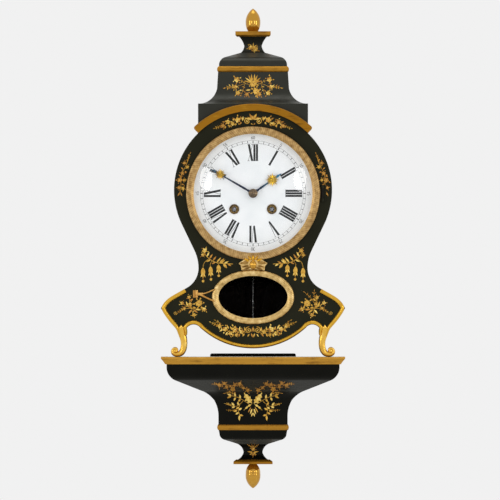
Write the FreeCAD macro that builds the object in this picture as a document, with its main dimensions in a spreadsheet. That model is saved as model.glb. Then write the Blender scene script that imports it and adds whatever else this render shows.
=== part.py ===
import FreeCAD, Part
import math
import os
import re

import Sketcher

# A lacquered bracket clock on its wall bracket, in millimetres.
# The back of the bracket lies on the wall plane y = 0, the clock looks towards -y, z is up,
# and z = 0 is the top of the bracket's shelf. "Front" distances are measured from the wall.

SIZES = {
    # Wall bracket
    "moulding_half": 152, "moulding_over": 12, "moulding_step": 3, "moulding_under": 7,
    "moulding_hollow": 0.4, "moulding_lap": 13.6,
    "moulding_foot": "=moulding_half-moulding_under",
    "shelf_half": "=moulding_half-moulding_over", "shelf_thick": 12,
    "shelf_deep": "=case_front-foot_front_gap", "bracket_share": 0.8,
    "bracket_back": "=shelf_deep+moulding_lap-bracket_share*moulding_half",
    "rail_half": 71, "rail_deep": 10, "rail_rise": 5.2, "rail_corner": 3,
    "bracket_top_set": 2.3, "bracket_top_half": "=moulding_foot-bracket_top_set",
    "bracket_side_fall": 6.4, "bracket_round": 3.8,
    "bracket_shoulder_in": 15.3, "bracket_shoulder_half": "=bracket_top_half-bracket_shoulder_in",
    "bracket_shoulder_fall": 27.1, "bracket_shoulder_drop": "=shelf_thick+bracket_shoulder_fall",
    "bracket_slope_in": 40.4, "bracket_slope_half": "=bracket_shoulder_half-bracket_slope_in",
    "bracket_slope_fall": 16.3, "bracket_slope_drop": "=bracket_shoulder_drop+bracket_slope_fall",
    "bracket_waist_half": 57.2, "bracket_hollow": 2.2,
    "bracket_knee_out": 7, "bracket_knee_half": "=bracket_waist_half+bracket_knee_out",
    "bracket_knee_fall": 16.5, "bracket_knee_drop": "=bracket_slope_drop+bracket_knee_fall",
    "bracket_shin_fall": 27.1, "bracket_shin_drop": "=bracket_knee_drop+bracket_shin_fall",
    "bracket_waist_hollow": 1.9,
    "bracket_waist_fall": 13.2, "band_drop": "=bracket_shin_drop+bracket_waist_fall",
    "band_tall": 9.1, "band_out": 0.4, "band_half": "=bracket_waist_half+band_out", "band_round": 1.6,
    "bowl_in": 0.6, "bowl_half": "=bracket_waist_half-bowl_in", "bowl_round": 1.6,
    "bowl_side_in": 1.4, "bowl_side_half": "=bowl_half-bowl_side_in",
    "bowl_side_fall": 8.5, "bowl_side_drop": "=band_drop+band_tall+bowl_side_fall",
    "bowl_under_in": 8.7, "bowl_under_half": "=bowl_side_half-bowl_under_in",
    "bowl_under_fall": 7.8, "bowl_under_drop": "=bowl_side_drop+bowl_under_fall",
    "bowl_slope_in": 18, "bowl_slope_half": "=bowl_under_half-bowl_slope_in",
    "bowl_slope_fall": 5.8, "bowl_slope_drop": "=bowl_under_drop+bowl_slope_fall",
    "bowl_neck_in": 12.8, "bowl_neck_half": "=bowl_slope_half-bowl_neck_in",
    "bowl_neck_fall": 15.1, "bowl_neck_drop": "=bowl_slope_drop+bowl_neck_fall", "bowl_hollow": 3.2,
    "bowl_foot_out": 9.3, "bowl_foot_half": "=bowl_neck_half+bowl_foot_out", "bowl_foot_hollow": 1.5,
    "bowl_foot_fall": 12, "plate_drop": "=bowl_neck_drop+bowl_foot_fall", "plate_tall": 7.4,
    "plate_top_out": 3, "plate_top_half": "=bowl_foot_half+plate_top_out",
    "plate_foot_out": 4.4, "plate_foot_half": "=plate_top_half+plate_foot_out", "plate_step_share": 0.45,
    "pendant_neck": 6, "pendant_half": 12.2, "pendant_wide_fall": 16, "pendant_long": 39.9,
    "pendant_top_bulge": 1.9, "pendant_bulge": 3.9,
    "hanger_in": 42.7, "hanger_spread": "=bracket_top_half-hanger_in",
    "hanger_drop": 27, "hanger_half": 9, "hanger_tall": 28, "hanger_thick": 2,
    "hanger_hole": 3.2, "hanger_pocket": 7, "hanger_pocket_deep": 8,

    # Case outline, from the feet upwards
    "foot_z": 47.9, "case_corner_rise": 32.6, "case_corner_z": "=foot_z+case_corner_rise",
    "case_hip_rise": 19.1, "case_hip_z": "=case_corner_z+case_hip_rise",
    "case_flare_rise": 14.3, "case_flare_z": "=case_hip_z+case_flare_rise",
    "case_waist_rise": 33.1, "case_waist_z": "=case_flare_z+case_waist_rise",
    "case_flank_rise": 28.7, "case_flank_z": "=case_waist_z+case_flank_rise",
    "case_tangent_rise": 41.4, "case_tangent_z": "=case_flank_z+case_tangent_rise",
    "case_round_rise": 58.4, "case_round_z": "=case_tangent_z+case_round_rise",
    "case_radius": 130.4, "case_tangent_half": "=sqrt(case_radius^2-case_round_rise^2)",
    "case_waist_half": 90, "case_waist_hollow": 5.3, "case_flank_hollow": 1.65,
    "case_flank_out": 6.7, "case_flank_half": "=case_waist_half+case_flank_out",
    "case_flare_out": 19.7, "case_flare_half": "=case_waist_half+case_flare_out",
    "case_hip_out": 25.5, "case_hip_half": "=case_flare_half+case_hip_out", "case_hip_round": 2,
    "case_corner_out": 16.8, "case_corner_half": "=case_hip_half+case_corner_out", "case_corner_round": 1.5,
    "foot_in": 24.2, "foot_outer": "=case_corner_half-foot_in",
    "foot_wide": 18.3, "foot_inner": "=foot_outer-foot_wide", "arch_rise": 6,
    "arch_wide": 23, "belly_half": "=foot_inner-arch_wide", "belly_drop": 33.5,
    "case_wall": 8, "case_back": 2, "back_board_thick": 8, "case_front": 130, "panel_thick": 12,
    "edge_wide": 6.6, "edge_proud": 4, "edge_top": "=case_flare_z-edge_stop", "edge_stop": 1.9,
    "eyebrow_wide": 12.1, "eyebrow_radius": "=case_radius+eyebrow_wide", "eyebrow_angle": 88,
    "eyebrow_deep": 12, "eyebrow_proud": 8, "eyebrow_round": 3, "eyebrow_end_round": 4, "case_fit": 0.3,

    # Scroll feet
    "foot_deep": 30, "foot_front_gap": 2, "foot_rear_start": 14, "foot_calf_curve": 1,
    "ankle_wide": 10, "ankle_half": "=foot_inner+ankle_wide",
    "ankle_drop": 21.9, "ankle_z": "=foot_z-ankle_drop", "ankle_curve": 0.8,
    "shin_drop": 29.9, "shin_z": "=foot_z-shin_drop", "shin_curve": 1.1, "heel_curve": 2.2,
    "curl_radius": 7, "curl_out": 0.2, "curl_half": "=foot_outer+curl_out",
    "curl_dip": 2.8, "curl_eye": 3.2, "curl_eye_proud": 1.2,

    # Crown, from the case upwards
    "crown_seat_rise": 12.4, "crown_base_z": "=case_round_z+case_radius+crown_seat_rise",
    "crown_box_half": 90.75, "crown_fit": 0.5, "crown_box_front": "=case_front-panel_thick-crown_fit",
    "crown_step": 4.95, "crown_foot_half": "=crown_box_half-crown_step",
    "crown_foot_set": 0.7, "crown_reach": "=crown_box_front-crown_foot_half-crown_foot_set",
    "crown_bell_in": 33, "crown_bell_half": "=crown_box_half-crown_bell_in",
    "crown_cove_out": 1.65, "crown_cove_half": "=crown_bell_half+crown_cove_out",
    "crown_cove_rise": 25.7, "crown_cove_z": "=crown_base_z+crown_cove_rise", "crown_cove_hollow": 6,
    "crown_bell_rise": 26.5, "crown_band_z": "=crown_cove_z+crown_bell_rise", "crown_band_tall": 9.5,
    "crown_band_in": 0.75, "crown_band_half": "=crown_bell_half-crown_band_in", "crown_band_round": 2.4,
    "crown_top_in": 1.65, "crown_top_half": "=crown_bell_half-crown_top_in",
    "crown_dome_in": 10.1, "crown_dome_half": "=crown_top_half-crown_dome_in",
    "crown_dome_rise": 15.5, "crown_dome_z": "=crown_band_z+crown_band_tall+crown_dome_rise",
    "crown_dome_round": 3.5, "crown_neck_half": 14.4,
    "crown_throat_out": 5.4, "crown_throat_half": "=crown_neck_half+crown_throat_out",
    "crown_throat_rise": 7.5, "crown_throat_z": "=crown_dome_z+crown_throat_rise",
    "crown_throat_hollow": 1,
    "crown_neck_rise": 11, "crown_neck_z": "=crown_throat_z+crown_neck_rise", "crown_neck_hollow": 1.2,
    "crown_flare_out": 8.6, "crown_flare_half": "=crown_neck_half+crown_flare_out",
    "crown_flare_rise": 15.7, "crown_cap_z": "=crown_neck_z+crown_flare_rise", "crown_cap_tall": 8.6,
    "crown_cap_out": 3.6, "crown_cap_foot": "=crown_flare_half+crown_cap_out",
    "crown_cap_lip": 2.6, "crown_cap_half": "=crown_cap_foot+crown_cap_lip",
    "crown_cap_step_share": 0.3,
    "egg_neck": 8, "egg_half": 12.2, "egg_wide_rise": 13.5, "egg_long": 37.6,
    "egg_bulge": 3.6, "egg_foot_bulge": 1.1,

    # Dial, bezel and glass
    "dial_set_down": 5.5, "dial_z": "=case_round_z-dial_set_down",
    "dial_radius": 100, "dial_edge": 1.5, "dial_rise": 5, "dial_hole": 6.5, "dial_shell": 1.5,
    "dial_room": 3, "dial_opening": "=dial_radius+dial_room",
    "dial_plate_lap": 9, "dial_plate_radius": "=dial_opening+dial_plate_lap", "dial_plate_thick": 2,
    "bezel_over": 10.5, "bezel_radius": "=dial_radius+bezel_over",
    "bezel_lap": 2, "bezel_inner": "=dial_radius-bezel_lap",
    "bezel_thick": 9.7, "bezel_gap": 0.3, "bezel_round": 2.5, "bezel_slope": 2, "bezel_lip": 4,
    "glass_seat": 3, "bezel_rebate": "=bezel_inner+glass_seat",
    "glass_fit": 0.5, "glass_radius": "=bezel_rebate-glass_fit", "glass_thick": 2,
    "glass_margin": 1, "glass_flat": "=bezel_inner-glass_margin", "glass_rise": 11,
    "hinge_out": 4, "hinge_x": "=bezel_radius+hinge_out",
    "hinge_proud": 4.4, "hinge_front": "=case_front+hinge_proud",
    "hinge_radius": 2.6, "hinge_pin": 1.2, "hinge_half": 8,
    "hinge_leaf": 6, "hinge_gap": 0.3, "hinge_fit": 0.05, "hinge_ear": 5, "hinge_leaf_thick": 1.5,
    "hinge_tab": 1.1,

    # Pendulum window
    "oval_rise": 51.1, "oval_z": "=foot_z+oval_rise",
    "oval_half": 68, "oval_tall": 45, "oval_rim_half": 11, "oval_rim_tall": 10,
    "oval_inner_half": "=oval_half-oval_rim_half", "oval_inner_tall": "=oval_tall-oval_rim_tall",
    "oval_room": 1, "oval_opening_half": "=oval_inner_half+oval_room",
    "oval_opening_tall": "=oval_inner_tall+oval_room", "oval_thick": 6, "oval_gap": 0.3,
    "oval_glass_over": 3, "oval_glass_thick": 2,
    "strap_edge": 16.7, "strap_x": "=case_flare_half-strap_edge", "strap_rise": 5, "strap_z": "=oval_z+strap_rise",
    "strap_proud": 5, "strap_front": "=case_front+strap_proud",
    "strap_lap": 6, "strap_tip": "=oval_half-strap_lap", "strap_thick": 1.6,
    "strap_upper_rise": 12.5, "strap_upper_z": "=oval_z+strap_upper_rise",
    "strap_lower_drop": 6, "strap_lower_z": "=oval_z-strap_lower_drop",
    "strap_wide": 3.2, "strap_half": 3.2, "strap_fork": 9, "strap_ear": 2.4, "strap_leaf": 6,
    "ornament_fall": 117.4, "ornament_z": "=dial_z-ornament_fall",
    "ornament_half": 24, "ornament_top": 15, "ornament_drop": 7, "ornament_proud": 4,
    "ornament_wing_share": 0.55, "ornament_wing_drop_share": 0.4,

    # Winding and hands
    "wind_x": 31, "wind_drop": 26, "grommet_outer": 8.2, "grommet_tube": 6.9, "grommet_bore": 5.6,
    "grommet_flange": 1, "grommet_lift": 0.05, "wind_hole": 7.1, "wind_square": 2.5,
    "wind_back": 3, "wind_end": "=case_front-wind_back",
    "hour_back": 2.4, "hour_front": "=case_front-hour_back",
    "hand_thick": 1.2, "hand_space": 2, "hour_angle": 55, "minute_angle": 300,
    "hand_hub": 6.5, "hand_stem": 1.5, "hour_sun_r": 38.8, "hour_sun": 9.2, "hour_tip": 57.8,
    "minute_sun_r": 62.7, "minute_sun": 7, "minute_tip": 80.9, "hand_point": 0.8,
    "collet_radius": 7.2, "collet_thick": 3.2, "collet_top_share": 0.75, "collet_bulge_share": 0.06,

    # Movement frame
    "plate_half": 64, "plate_low": 62, "plate_high": 66, "plate_thick": 3,
    "front_plate_back": 17, "front_plate_front": "=case_front-panel_thick-front_plate_back",
    "plate_space": 48, "back_plate_front": "=front_plate_front-plate_space",
    "pillar_in": 6, "pillar_radius": 3.5, "pillar_screw": 4.5,
    "screw_head": 2, "dial_post": 3, "dial_post_x": 52, "dial_post_z": 50,
    "pivot_fit": 0.05, "pivot": 1, "arbor": 1.3, "end_shake": 0.3, "pillar_bore": 2,

    # Wheels, placed ahead of the back plate
    "barrel_teeth": 72, "barrel_module": 0.8, "barrel_ahead": 10.5,
    "barrel_front": "=back_plate_front+barrel_ahead", "wheel_thick": 2, "drum_radius": 25.5,
    "drum_long": 26, "wind_arbor": 4, "wind_pivot": 3,
    "relay_teeth": 60, "relay_leaves": 12, "relay_module": 0.6, "relay_ahead": 40.5,
    "relay_front": "=back_plate_front+relay_ahead", "relay_x": 20.2, "relay_z": 5.8,
    "centre_teeth": 96, "centre_leaves": 10, "centre_module": 0.4, "centre_ahead": 44.5,
    "centre_front": "=back_plate_front+centre_ahead",
    "third_x": 7.25, "third_z": 19.92, "third_teeth": 90, "third_leaves": 10, "third_ahead": 35,
    "third_front": "=back_plate_front+third_ahead",
    "escape_z": 38.56, "escape_leaves": 10, "escape_teeth": 40, "escape_radius": 12, "escape_ahead": 29,
    "escape_front": "=back_plate_front+escape_ahead",
    "anchor_z": 55.6, "anchor_ahead": 28, "anchor_front": "=back_plate_front+anchor_ahead",
    "anchor_thick": 4, "anchor_hub": 3.5, "pallet_half": 11, "pallet_wide": 2.4,
    "pallet_heel_share": 0.3, "pallet_tip_share": 0.46, "pallet_point_share": 0.44,
    "pallet_inner_share": 0.28, "anchor_under_share": 0.6,
    "addendum": 0.6, "dedendum": 0.9, "leaf_extra": 0.6,
    "pin_x": 22.3, "pin_z": 6.45, "pin_teeth": 70, "pin_leaves": 12, "pin_module": 0.5, "pin_ahead": 40.5,
    "pin_front": "=back_plate_front+pin_ahead",
    "pin_count": 8, "pin_ring": 12.5, "pin_radius": 0.8, "pin_long": 1.6,
    "fly_x": 32.3, "fly_z": 23.8, "fly_leaves": 10, "fly_half": 11, "fly_wide": 10, "fly_ahead": 7,
    "fly_front": "=back_plate_front+fly_ahead", "fly_thick": 0.8,
    "cannon_radius": 3, "cannon_teeth": 12, "motion_module": 0.625, "cannon_ahead": 4.5,
    "cannon_front": "=front_plate_front+cannon_ahead",
    "motion_thick": 2, "minute_wheel_teeth": 36, "minute_leaves": 10, "hour_teeth": 40,
    "hour_module": 0.6, "hour_pipe": 4.4, "motion_z": 15, "hour_ahead": 4,
    "hour_wheel_front": "=cannon_front+hour_ahead",

    # Strike
    "bell_x": 24, "bell_radius": 25, "bell_wall": 1.8, "bell_deep": 18, "bell_room": 3.8,
    "bell_swing": "=case_radius-case_wall-bell_room-bell_radius",
    "bell_z": "=dial_set_down+sqrt(bell_swing^2-bell_x^2)",
    "bell_ahead": 9, "bell_front": "=back_plate_front+bell_ahead",
    "bell_post": 2.5, "bell_collar": 4, "bell_strip_half": 4, "bell_strip_thick": 2.5, "bell_strip_low": 56,
    "hammer_x": 30, "hammer_z": 58, "hammer_ahead": 16, "hammer_front": "=back_plate_front+hammer_ahead",
    "hammer_thick": 4, "hammer_head": 5, "hammer_long": 12, "hammer_gap": 1.4, "hammer_hub": 3,

    # Pendulum, behind the back plate
    "pendulum_behind": 13, "pendulum_front": "=back_plate_front-pendulum_behind",
    "rod_radius": 1.5, "spring_half": 2, "spring_thick": 0.4, "spring_low": 24,
    "bob_rise": 2.1, "bob_z": "=foot_z+bob_rise", "bob_radius": 14, "bob_half": 6, "bob_edge": 1,
    "nut_radius": 5, "nut_tall": 4, "rod_below": 22, "rod_end": "=bob_z-rod_below",
    "cock_half": 26, "cock_foot": 6, "cock_tall": 15, "cock_behind": 6,
    "cock_front": "=pendulum_front-cock_behind", "cock_deep": 12, "cock_slot": 5,
    "cock_slot_half": 4, "cock_pin": 1, "crutch_ahead": 7.5,
    "crutch_front": "=pendulum_front+crutch_ahead", "crutch_thick": 3, "crutch_long": 138,
    "crutch_end_z": "=dial_z-crutch_long",
    "crutch_half": 1.5, "crutch_fork_gap": 0.4, "crutch_fork_half": 4, "crutch_fork_tall": 5,

    # A quarter-round corner bulges by this share of its radius
    "corner_bulge": 0.2929,
    # Radius of the small flat where a turned dome meets its axis
    "apex_flat": 0.6,
}

doc = FreeCAD.newDocument("BracketClock")
sheet = doc.addObject("Spreadsheet::Sheet", "Sizes")
for row, alias in enumerate(SIZES, start=1):
    sheet.set("A%d" % row, alias)
    sheet.setAlias("B%d" % row, alias)
for row, value in enumerate(SIZES.values(), start=1):
    sheet.set("B%d" % row, str(value))
doc.recompute()

WORD = re.compile(r"[A-Za-z_]+")
FRONT_VIEW = FreeCAD.Rotation(FreeCAD.Vector(1, 0, 0), 90)
SIDE_VIEW = FreeCAD.Rotation(FreeCAD.Vector(0, -1, 0), FreeCAD.Vector(0, 0, 1),
                             FreeCAD.Vector(-1, 0, 0), "XYZ")
TO_FRONT = FreeCAD.Vector(0, -1, 0)
nodes = {}


def vec(x, y, z=0):
    return FreeCAD.Vector(x, y, z)


def link(expression):
    """An expression whose size names point at the sheet."""
    return WORD.sub(lambda found: "Sizes." + found.group() if found.group() in SIZES else found.group(),
                    str(expression))


def num(expression):
    return float(sheet.evalExpression(link(expression)))


def bind(item, prop, expression):
    item.setExpression(prop, link(expression))


def node(label, item):
    item.Label = label
    nodes[label] = item
    return item


def both_sides(half, top=None):
    """A closed clockwise outline from its right half, listed downwards as (x, z, bulge to the next)."""
    right = [tuple(point) + (None,) * (3 - len(point)) for point in half]
    left = []
    for index in range(len(right) - 1, -1, -1):
        x, z, _ = right[index]
        bulge = right[index - 1][2] if index else top
        if x != "0":
            left.append(("-(%s)" % x, z, bulge))
    return right + left


def draw(sketch, loops):
    """Draw loops of lines and arcs, or circles, with every corner held by the sheet."""
    rules = []
    held = []

    def hold(rule, expression):
        rules.append(rule)
        held.append((len(rules) - 1, expression))

    for loop in loops:
        if loop[0] == "circle":
            _, x, y, radius = loop
            item = sketch.addGeometry(Part.Circle(vec(num(x), num(y)), vec(0, 0, 1), num(radius)), False)
            hold(Sketcher.Constraint("DistanceX", -1, 1, item, 3, num(x)), x)
            hold(Sketcher.Constraint("DistanceY", -1, 1, item, 3, num(y)), y)
            hold(Sketcher.Constraint("Radius", item, num(radius)), radius)
            continue
        corners = [vec(num(point[0]), num(point[1])) for point in loop]
        items = []
        count = len(loop)
        for index, point in enumerate(loop):
            start = corners[index]
            end = corners[(index + 1) % count]
            bulge = point[2] if len(point) > 2 else None
            if bulge is None:
                items.append(sketch.addGeometry(Part.LineSegment(start, end), False))
                continue
            chord = end - start
            left = vec(-chord.y, chord.x).normalize()
            middle = (start + end) * 0.5 + left * num(bulge)
            items.append(sketch.addGeometry(Part.Arc(start, middle, end), False))
            to = loop[(index + 1) % count]
            quarter = "((((%s)-(%s))^2+((%s)-(%s))^2)/4+(%s)^2)" % (to[0], point[0], to[1], point[1], bulge)
            radius = "%s/(2*abs(%s))" % (quarter, bulge)
            hold(Sketcher.Constraint("Radius", items[-1], num(radius)), radius)

        def end_at(item, place):
            return 1 if (sketch.getPoint(item, 1) - place).Length < 1e-6 else 2

        for index in range(count):
            place = corners[index]
            before = items[index - 1]
            after = items[index]
            rules.append(Sketcher.Constraint("Coincident", before, 3 - end_at(before, corners[index - 1]),
                                             after, end_at(after, place)))
            end = end_at(after, place)
            hold(Sketcher.Constraint("DistanceX", -1, 1, after, end, place.x), loop[index][0])
            hold(Sketcher.Constraint("DistanceY", -1, 1, after, end, place.y), loop[index][1])
    first = sketch.ConstraintCount
    sketch.addConstraint(rules)
    for index, expression in held:
        bind(sketch, "Constraints[%d]" % (first + index), expression)


def new_body(label, x="0", z="0"):
    body = doc.addObject("PartDesign::Body", label)
    bind(body, "Placement.Base.x", x)
    bind(body, "Placement.Base.z", z)
    return node(label, body)


def on_plane(body, role, loops, shift=("0", "0", "0")):
    sketch = body.newObject("Sketcher::SketchObject", "Profile")
    plane = [item for item in body.Origin.OriginFeatures if item.Role == role][0]
    sketch.AttachmentSupport = [(plane, "")]
    sketch.MapMode = "FlatFace"
    for axis, expression in zip("xyz", shift):
        bind(sketch, "AttachmentOffset.Base." + axis, expression)
    draw(sketch, loops)
    return sketch


def pad(body, loops, front, thick):
    """Material from a distance in front of the wall, towards the front."""
    feature = body.newObject("PartDesign::Pad", "Pad")
    feature.Profile = on_plane(body, "XZ_Plane", loops, ("0", "0", front))
    bind(feature, "Length", thick)
    return feature


def cut(body, loops, front, thick):
    doc.recompute()
    before = body.Shape.Volume
    feature = body.newObject("PartDesign::Pocket", "Pocket")
    feature.Profile = on_plane(body, "XZ_Plane", loops, ("0", "0", front))
    feature.Reversed = True
    bind(feature, "Length", thick)
    doc.recompute()
    if body.Shape.Volume >= before:
        raise RuntimeError("nothing was cut from " + body.Label)
    return feature


def turn_upright(body, points, front):
    """A turning about a vertical axis, from (radius, z, bulge) points."""
    feature = body.newObject("PartDesign::Revolution", "Turning")
    sketch = on_plane(body, "XZ_Plane", [points], ("0", "0", front))
    feature.Profile = sketch
    feature.ReferenceAxis = (sketch, ["V_Axis"])
    feature.Angle = 360
    return feature


def turn_facing(body, points, x="0", z="0", angle="360"):
    """A turning about an axis from back to front, from (front, radius, bulge) points."""
    feature = body.newObject("PartDesign::Revolution", "Turning")
    loop = [("-(%s)" % point[0],) + tuple(point[1:]) for point in points]
    sketch = on_plane(body, "YZ_Plane", [loop], ("0", z, x))
    feature.Profile = sketch
    feature.ReferenceAxis = (sketch, ["H_Axis"])
    feature.Midplane = True
    bind(feature, "Angle", angle)
    return feature


def free_sketch(loops, front="0", rotation=FRONT_VIEW):
    sketch = doc.addObject("Sketcher::SketchObject", "Outline")
    sketch.Placement = FreeCAD.Placement(vec(0, 0, 0), rotation)
    bind(sketch, "Placement.Base.y", "-(%s)" % front)
    draw(sketch, loops)
    return sketch


def extrude(source, length, direction=TO_FRONT, symmetric=False):
    solid = doc.addObject("Part::Extrusion", "Extrusion")
    solid.Base = source
    solid.DirMode = "Custom"
    solid.Dir = direction
    solid.Solid = True
    solid.Symmetric = symmetric
    bind(solid, "LengthFwd", length)
    return solid


def combine(kind, base, tool):
    solid = doc.addObject("Part::" + kind, kind)
    solid.Base = base
    solid.Tool = tool
    return solid


def mitred(half, share, back, reach, start="0"):
    """A three-sided moulding: one profile round the front and both sides, flat at the back."""
    face = extrude(free_sketch([both_sides(half)], start), "(%s)*2" % reach)
    flank = [(start, half[0][1])]
    for point in half:
        bulge = point[2] if len(point) > 2 else None
        flank.append(("(%s)*(%s)+(%s)" % (share, point[0], back), point[1], bulge))
    flank.append((start, half[-1][1]))
    side = extrude(free_sketch([flank], "0", SIDE_VIEW), "(%s)*2" % reach, vec(1, 0), symmetric=True)
    return combine("Common", face, side)


def box(x, front, z, wide, deep, tall):
    solid = doc.addObject("Part::Box", "Block")
    bind(solid, "Length", wide)
    bind(solid, "Width", deep)
    bind(solid, "Height", tall)
    bind(solid, "Placement.Base.x", x)
    bind(solid, "Placement.Base.y", "-(%s)-(%s)" % (front, deep))
    bind(solid, "Placement.Base.z", z)
    return solid


def rod(x, front, z, radius, length):
    """A cylinder from a distance in front of the wall, towards the front."""
    solid = doc.addObject("Part::Cylinder", "Rod")
    bind(solid, "Radius", radius)
    bind(solid, "Height", length)
    solid.Placement = FreeCAD.Placement(vec(0, 0, 0), FRONT_VIEW)
    bind(solid, "Placement.Base.x", x)
    bind(solid, "Placement.Base.y", "-(%s)" % front)
    bind(solid, "Placement.Base.z", z)
    return solid


def oval(half, tall, front, thick):
    edge = doc.addObject("Part::Ellipse", "Oval")
    bind(edge, "MajorRadius", half)
    bind(edge, "MinorRadius", tall)
    edge.Placement = FreeCAD.Placement(vec(0, 0, 0), FRONT_VIEW)
    bind(edge, "Placement.Base.y", "-(%s)" % front)
    bind(edge, "Placement.Base.z", "oval_z")
    return extrude(edge, thick)


def rectangle(low_x, low_z, high_x, high_z):
    return [(low_x, high_z), (high_x, high_z), (high_x, low_z), (low_x, low_z)]


# Wall bracket

def make_bracket():
    share, back = "bracket_share", "bracket_back"
    rail_top = both_sides([("rail_half-rail_corner", "rail_rise", "rail_corner*corner_bulge"),
                           ("rail_half", "rail_rise-rail_corner"), ("rail_half", "-shelf_thick")])
    rail = new_body("bracket_back_rail")
    pad(rail, [rail_top], "0", "rail_deep")

    board = box("-shelf_half", "0", "-shelf_thick", "shelf_half*2", "shelf_deep", "shelf_thick")
    notch = box("-rail_half", "0", "-shelf_thick", "rail_half*2", "rail_deep", "shelf_thick")
    node("bracket_shelf", combine("Cut", board, notch))

    rim = mitred([("moulding_half", "0"), ("moulding_half", "-moulding_step", "-moulding_hollow"),
                  ("moulding_foot", "-shelf_thick")], share, back, "moulding_half")
    core = box("-shelf_half", "0", "-shelf_thick", "shelf_half*2", "shelf_deep", "shelf_thick")
    node("bracket_top_moulding", combine("Cut", rim, core))

    block = mitred([("bracket_top_half", "-shelf_thick"),
                    ("bracket_top_half", "-shelf_thick-bracket_side_fall", "bracket_round"),
                    ("bracket_shoulder_half", "-bracket_shoulder_drop"),
                    ("bracket_slope_half", "-bracket_slope_drop", "-bracket_hollow"),
                    ("bracket_knee_half", "-bracket_knee_drop", "-bracket_waist_hollow"),
                    ("bracket_waist_half", "-bracket_shin_drop"),
                    ("bracket_waist_half", "-band_drop")], share, back, "moulding_half")
    for side in ("-hanger_spread", "hanger_spread"):
        seat = box(side + "-hanger_half", "0", "-hanger_drop-hanger_tall/2",
                   "hanger_half*2", "hanger_thick", "hanger_tall")
        block = combine("Cut", block, seat)
        block = combine("Cut", block, rod(side, "0", "-hanger_drop", "hanger_pocket", "hanger_pocket_deep"))
    node("bracket_body", block)

    plates = new_body("bracket_hanger_plates")
    loops = []
    for side in ("-hanger_spread", "hanger_spread"):
        loops.append(rectangle(side + "-hanger_half", "-hanger_drop-hanger_tall/2",
                               side + "+hanger_half", "-hanger_drop+hanger_tall/2"))
        loops.append(("circle", side, "-hanger_drop", "hanger_hole"))
    pad(plates, loops, "0", "hanger_thick")

    node("bracket_band", mitred([("band_half", "-band_drop", "band_round"),
                                 ("band_half", "-band_drop-band_tall")], share, back, "moulding_half"))
    node("bracket_bowl", mitred([("bowl_half", "-band_drop-band_tall"),
                                 ("bowl_side_half", "-bowl_side_drop", "bowl_round"),
                                 ("bowl_under_half", "-bowl_under_drop"),
                                 ("bowl_slope_half", "-bowl_slope_drop", "-bowl_hollow"),
                                 ("bowl_neck_half", "-bowl_neck_drop", "-bowl_foot_hollow"),
                                 ("bowl_foot_half", "-plate_drop")], share, back, "moulding_half"))
    node("bracket_foot_plate", mitred([("plate_top_half", "-plate_drop"),
                                       ("plate_foot_half", "-plate_drop-plate_tall*plate_step_share"),
                                       ("plate_foot_half", "-plate_drop-plate_tall")],
                                      share, back, "moulding_half"))
    pendant = new_body("bracket_finial")
    hung = "-plate_drop-plate_tall"
    turn_upright(pendant, [("0", hung), ("pendant_neck", hung, "pendant_top_bulge"),
                           ("pendant_half", hung + "-pendant_wide_fall", "pendant_bulge"),
                           ("apex_flat", hung + "-pendant_long"), ("0", hung + "-pendant_long")],
                 "(bracket_share*plate_foot_half+bracket_back)/2")


# Case

def case_outline():
    return both_sides([
        ("case_tangent_half", "case_tangent_z"),
        ("case_flank_half", "case_flank_z", "-case_flank_hollow"),
        ("case_waist_half", "case_waist_z", "-case_waist_hollow"),
        ("case_flare_half", "case_flare_z"),
        ("case_hip_half", "case_hip_z", "case_hip_round"),
        ("case_corner_half", "case_corner_z", "case_corner_round"),
        ("foot_outer", "foot_z"),
        ("foot_inner", "foot_z", "-arch_rise"),
        ("belly_half", "foot_z", "belly_drop"),
    ], top="case_round_z+case_radius-case_tangent_z")


def inset(outline, amount):
    smaller = doc.addObject("Part::Offset2D", "Inset")
    smaller.Source = outline
    smaller.Join = "Intersection"
    bind(smaller, "Value", "-(%s)" % amount)
    return smaller


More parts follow.
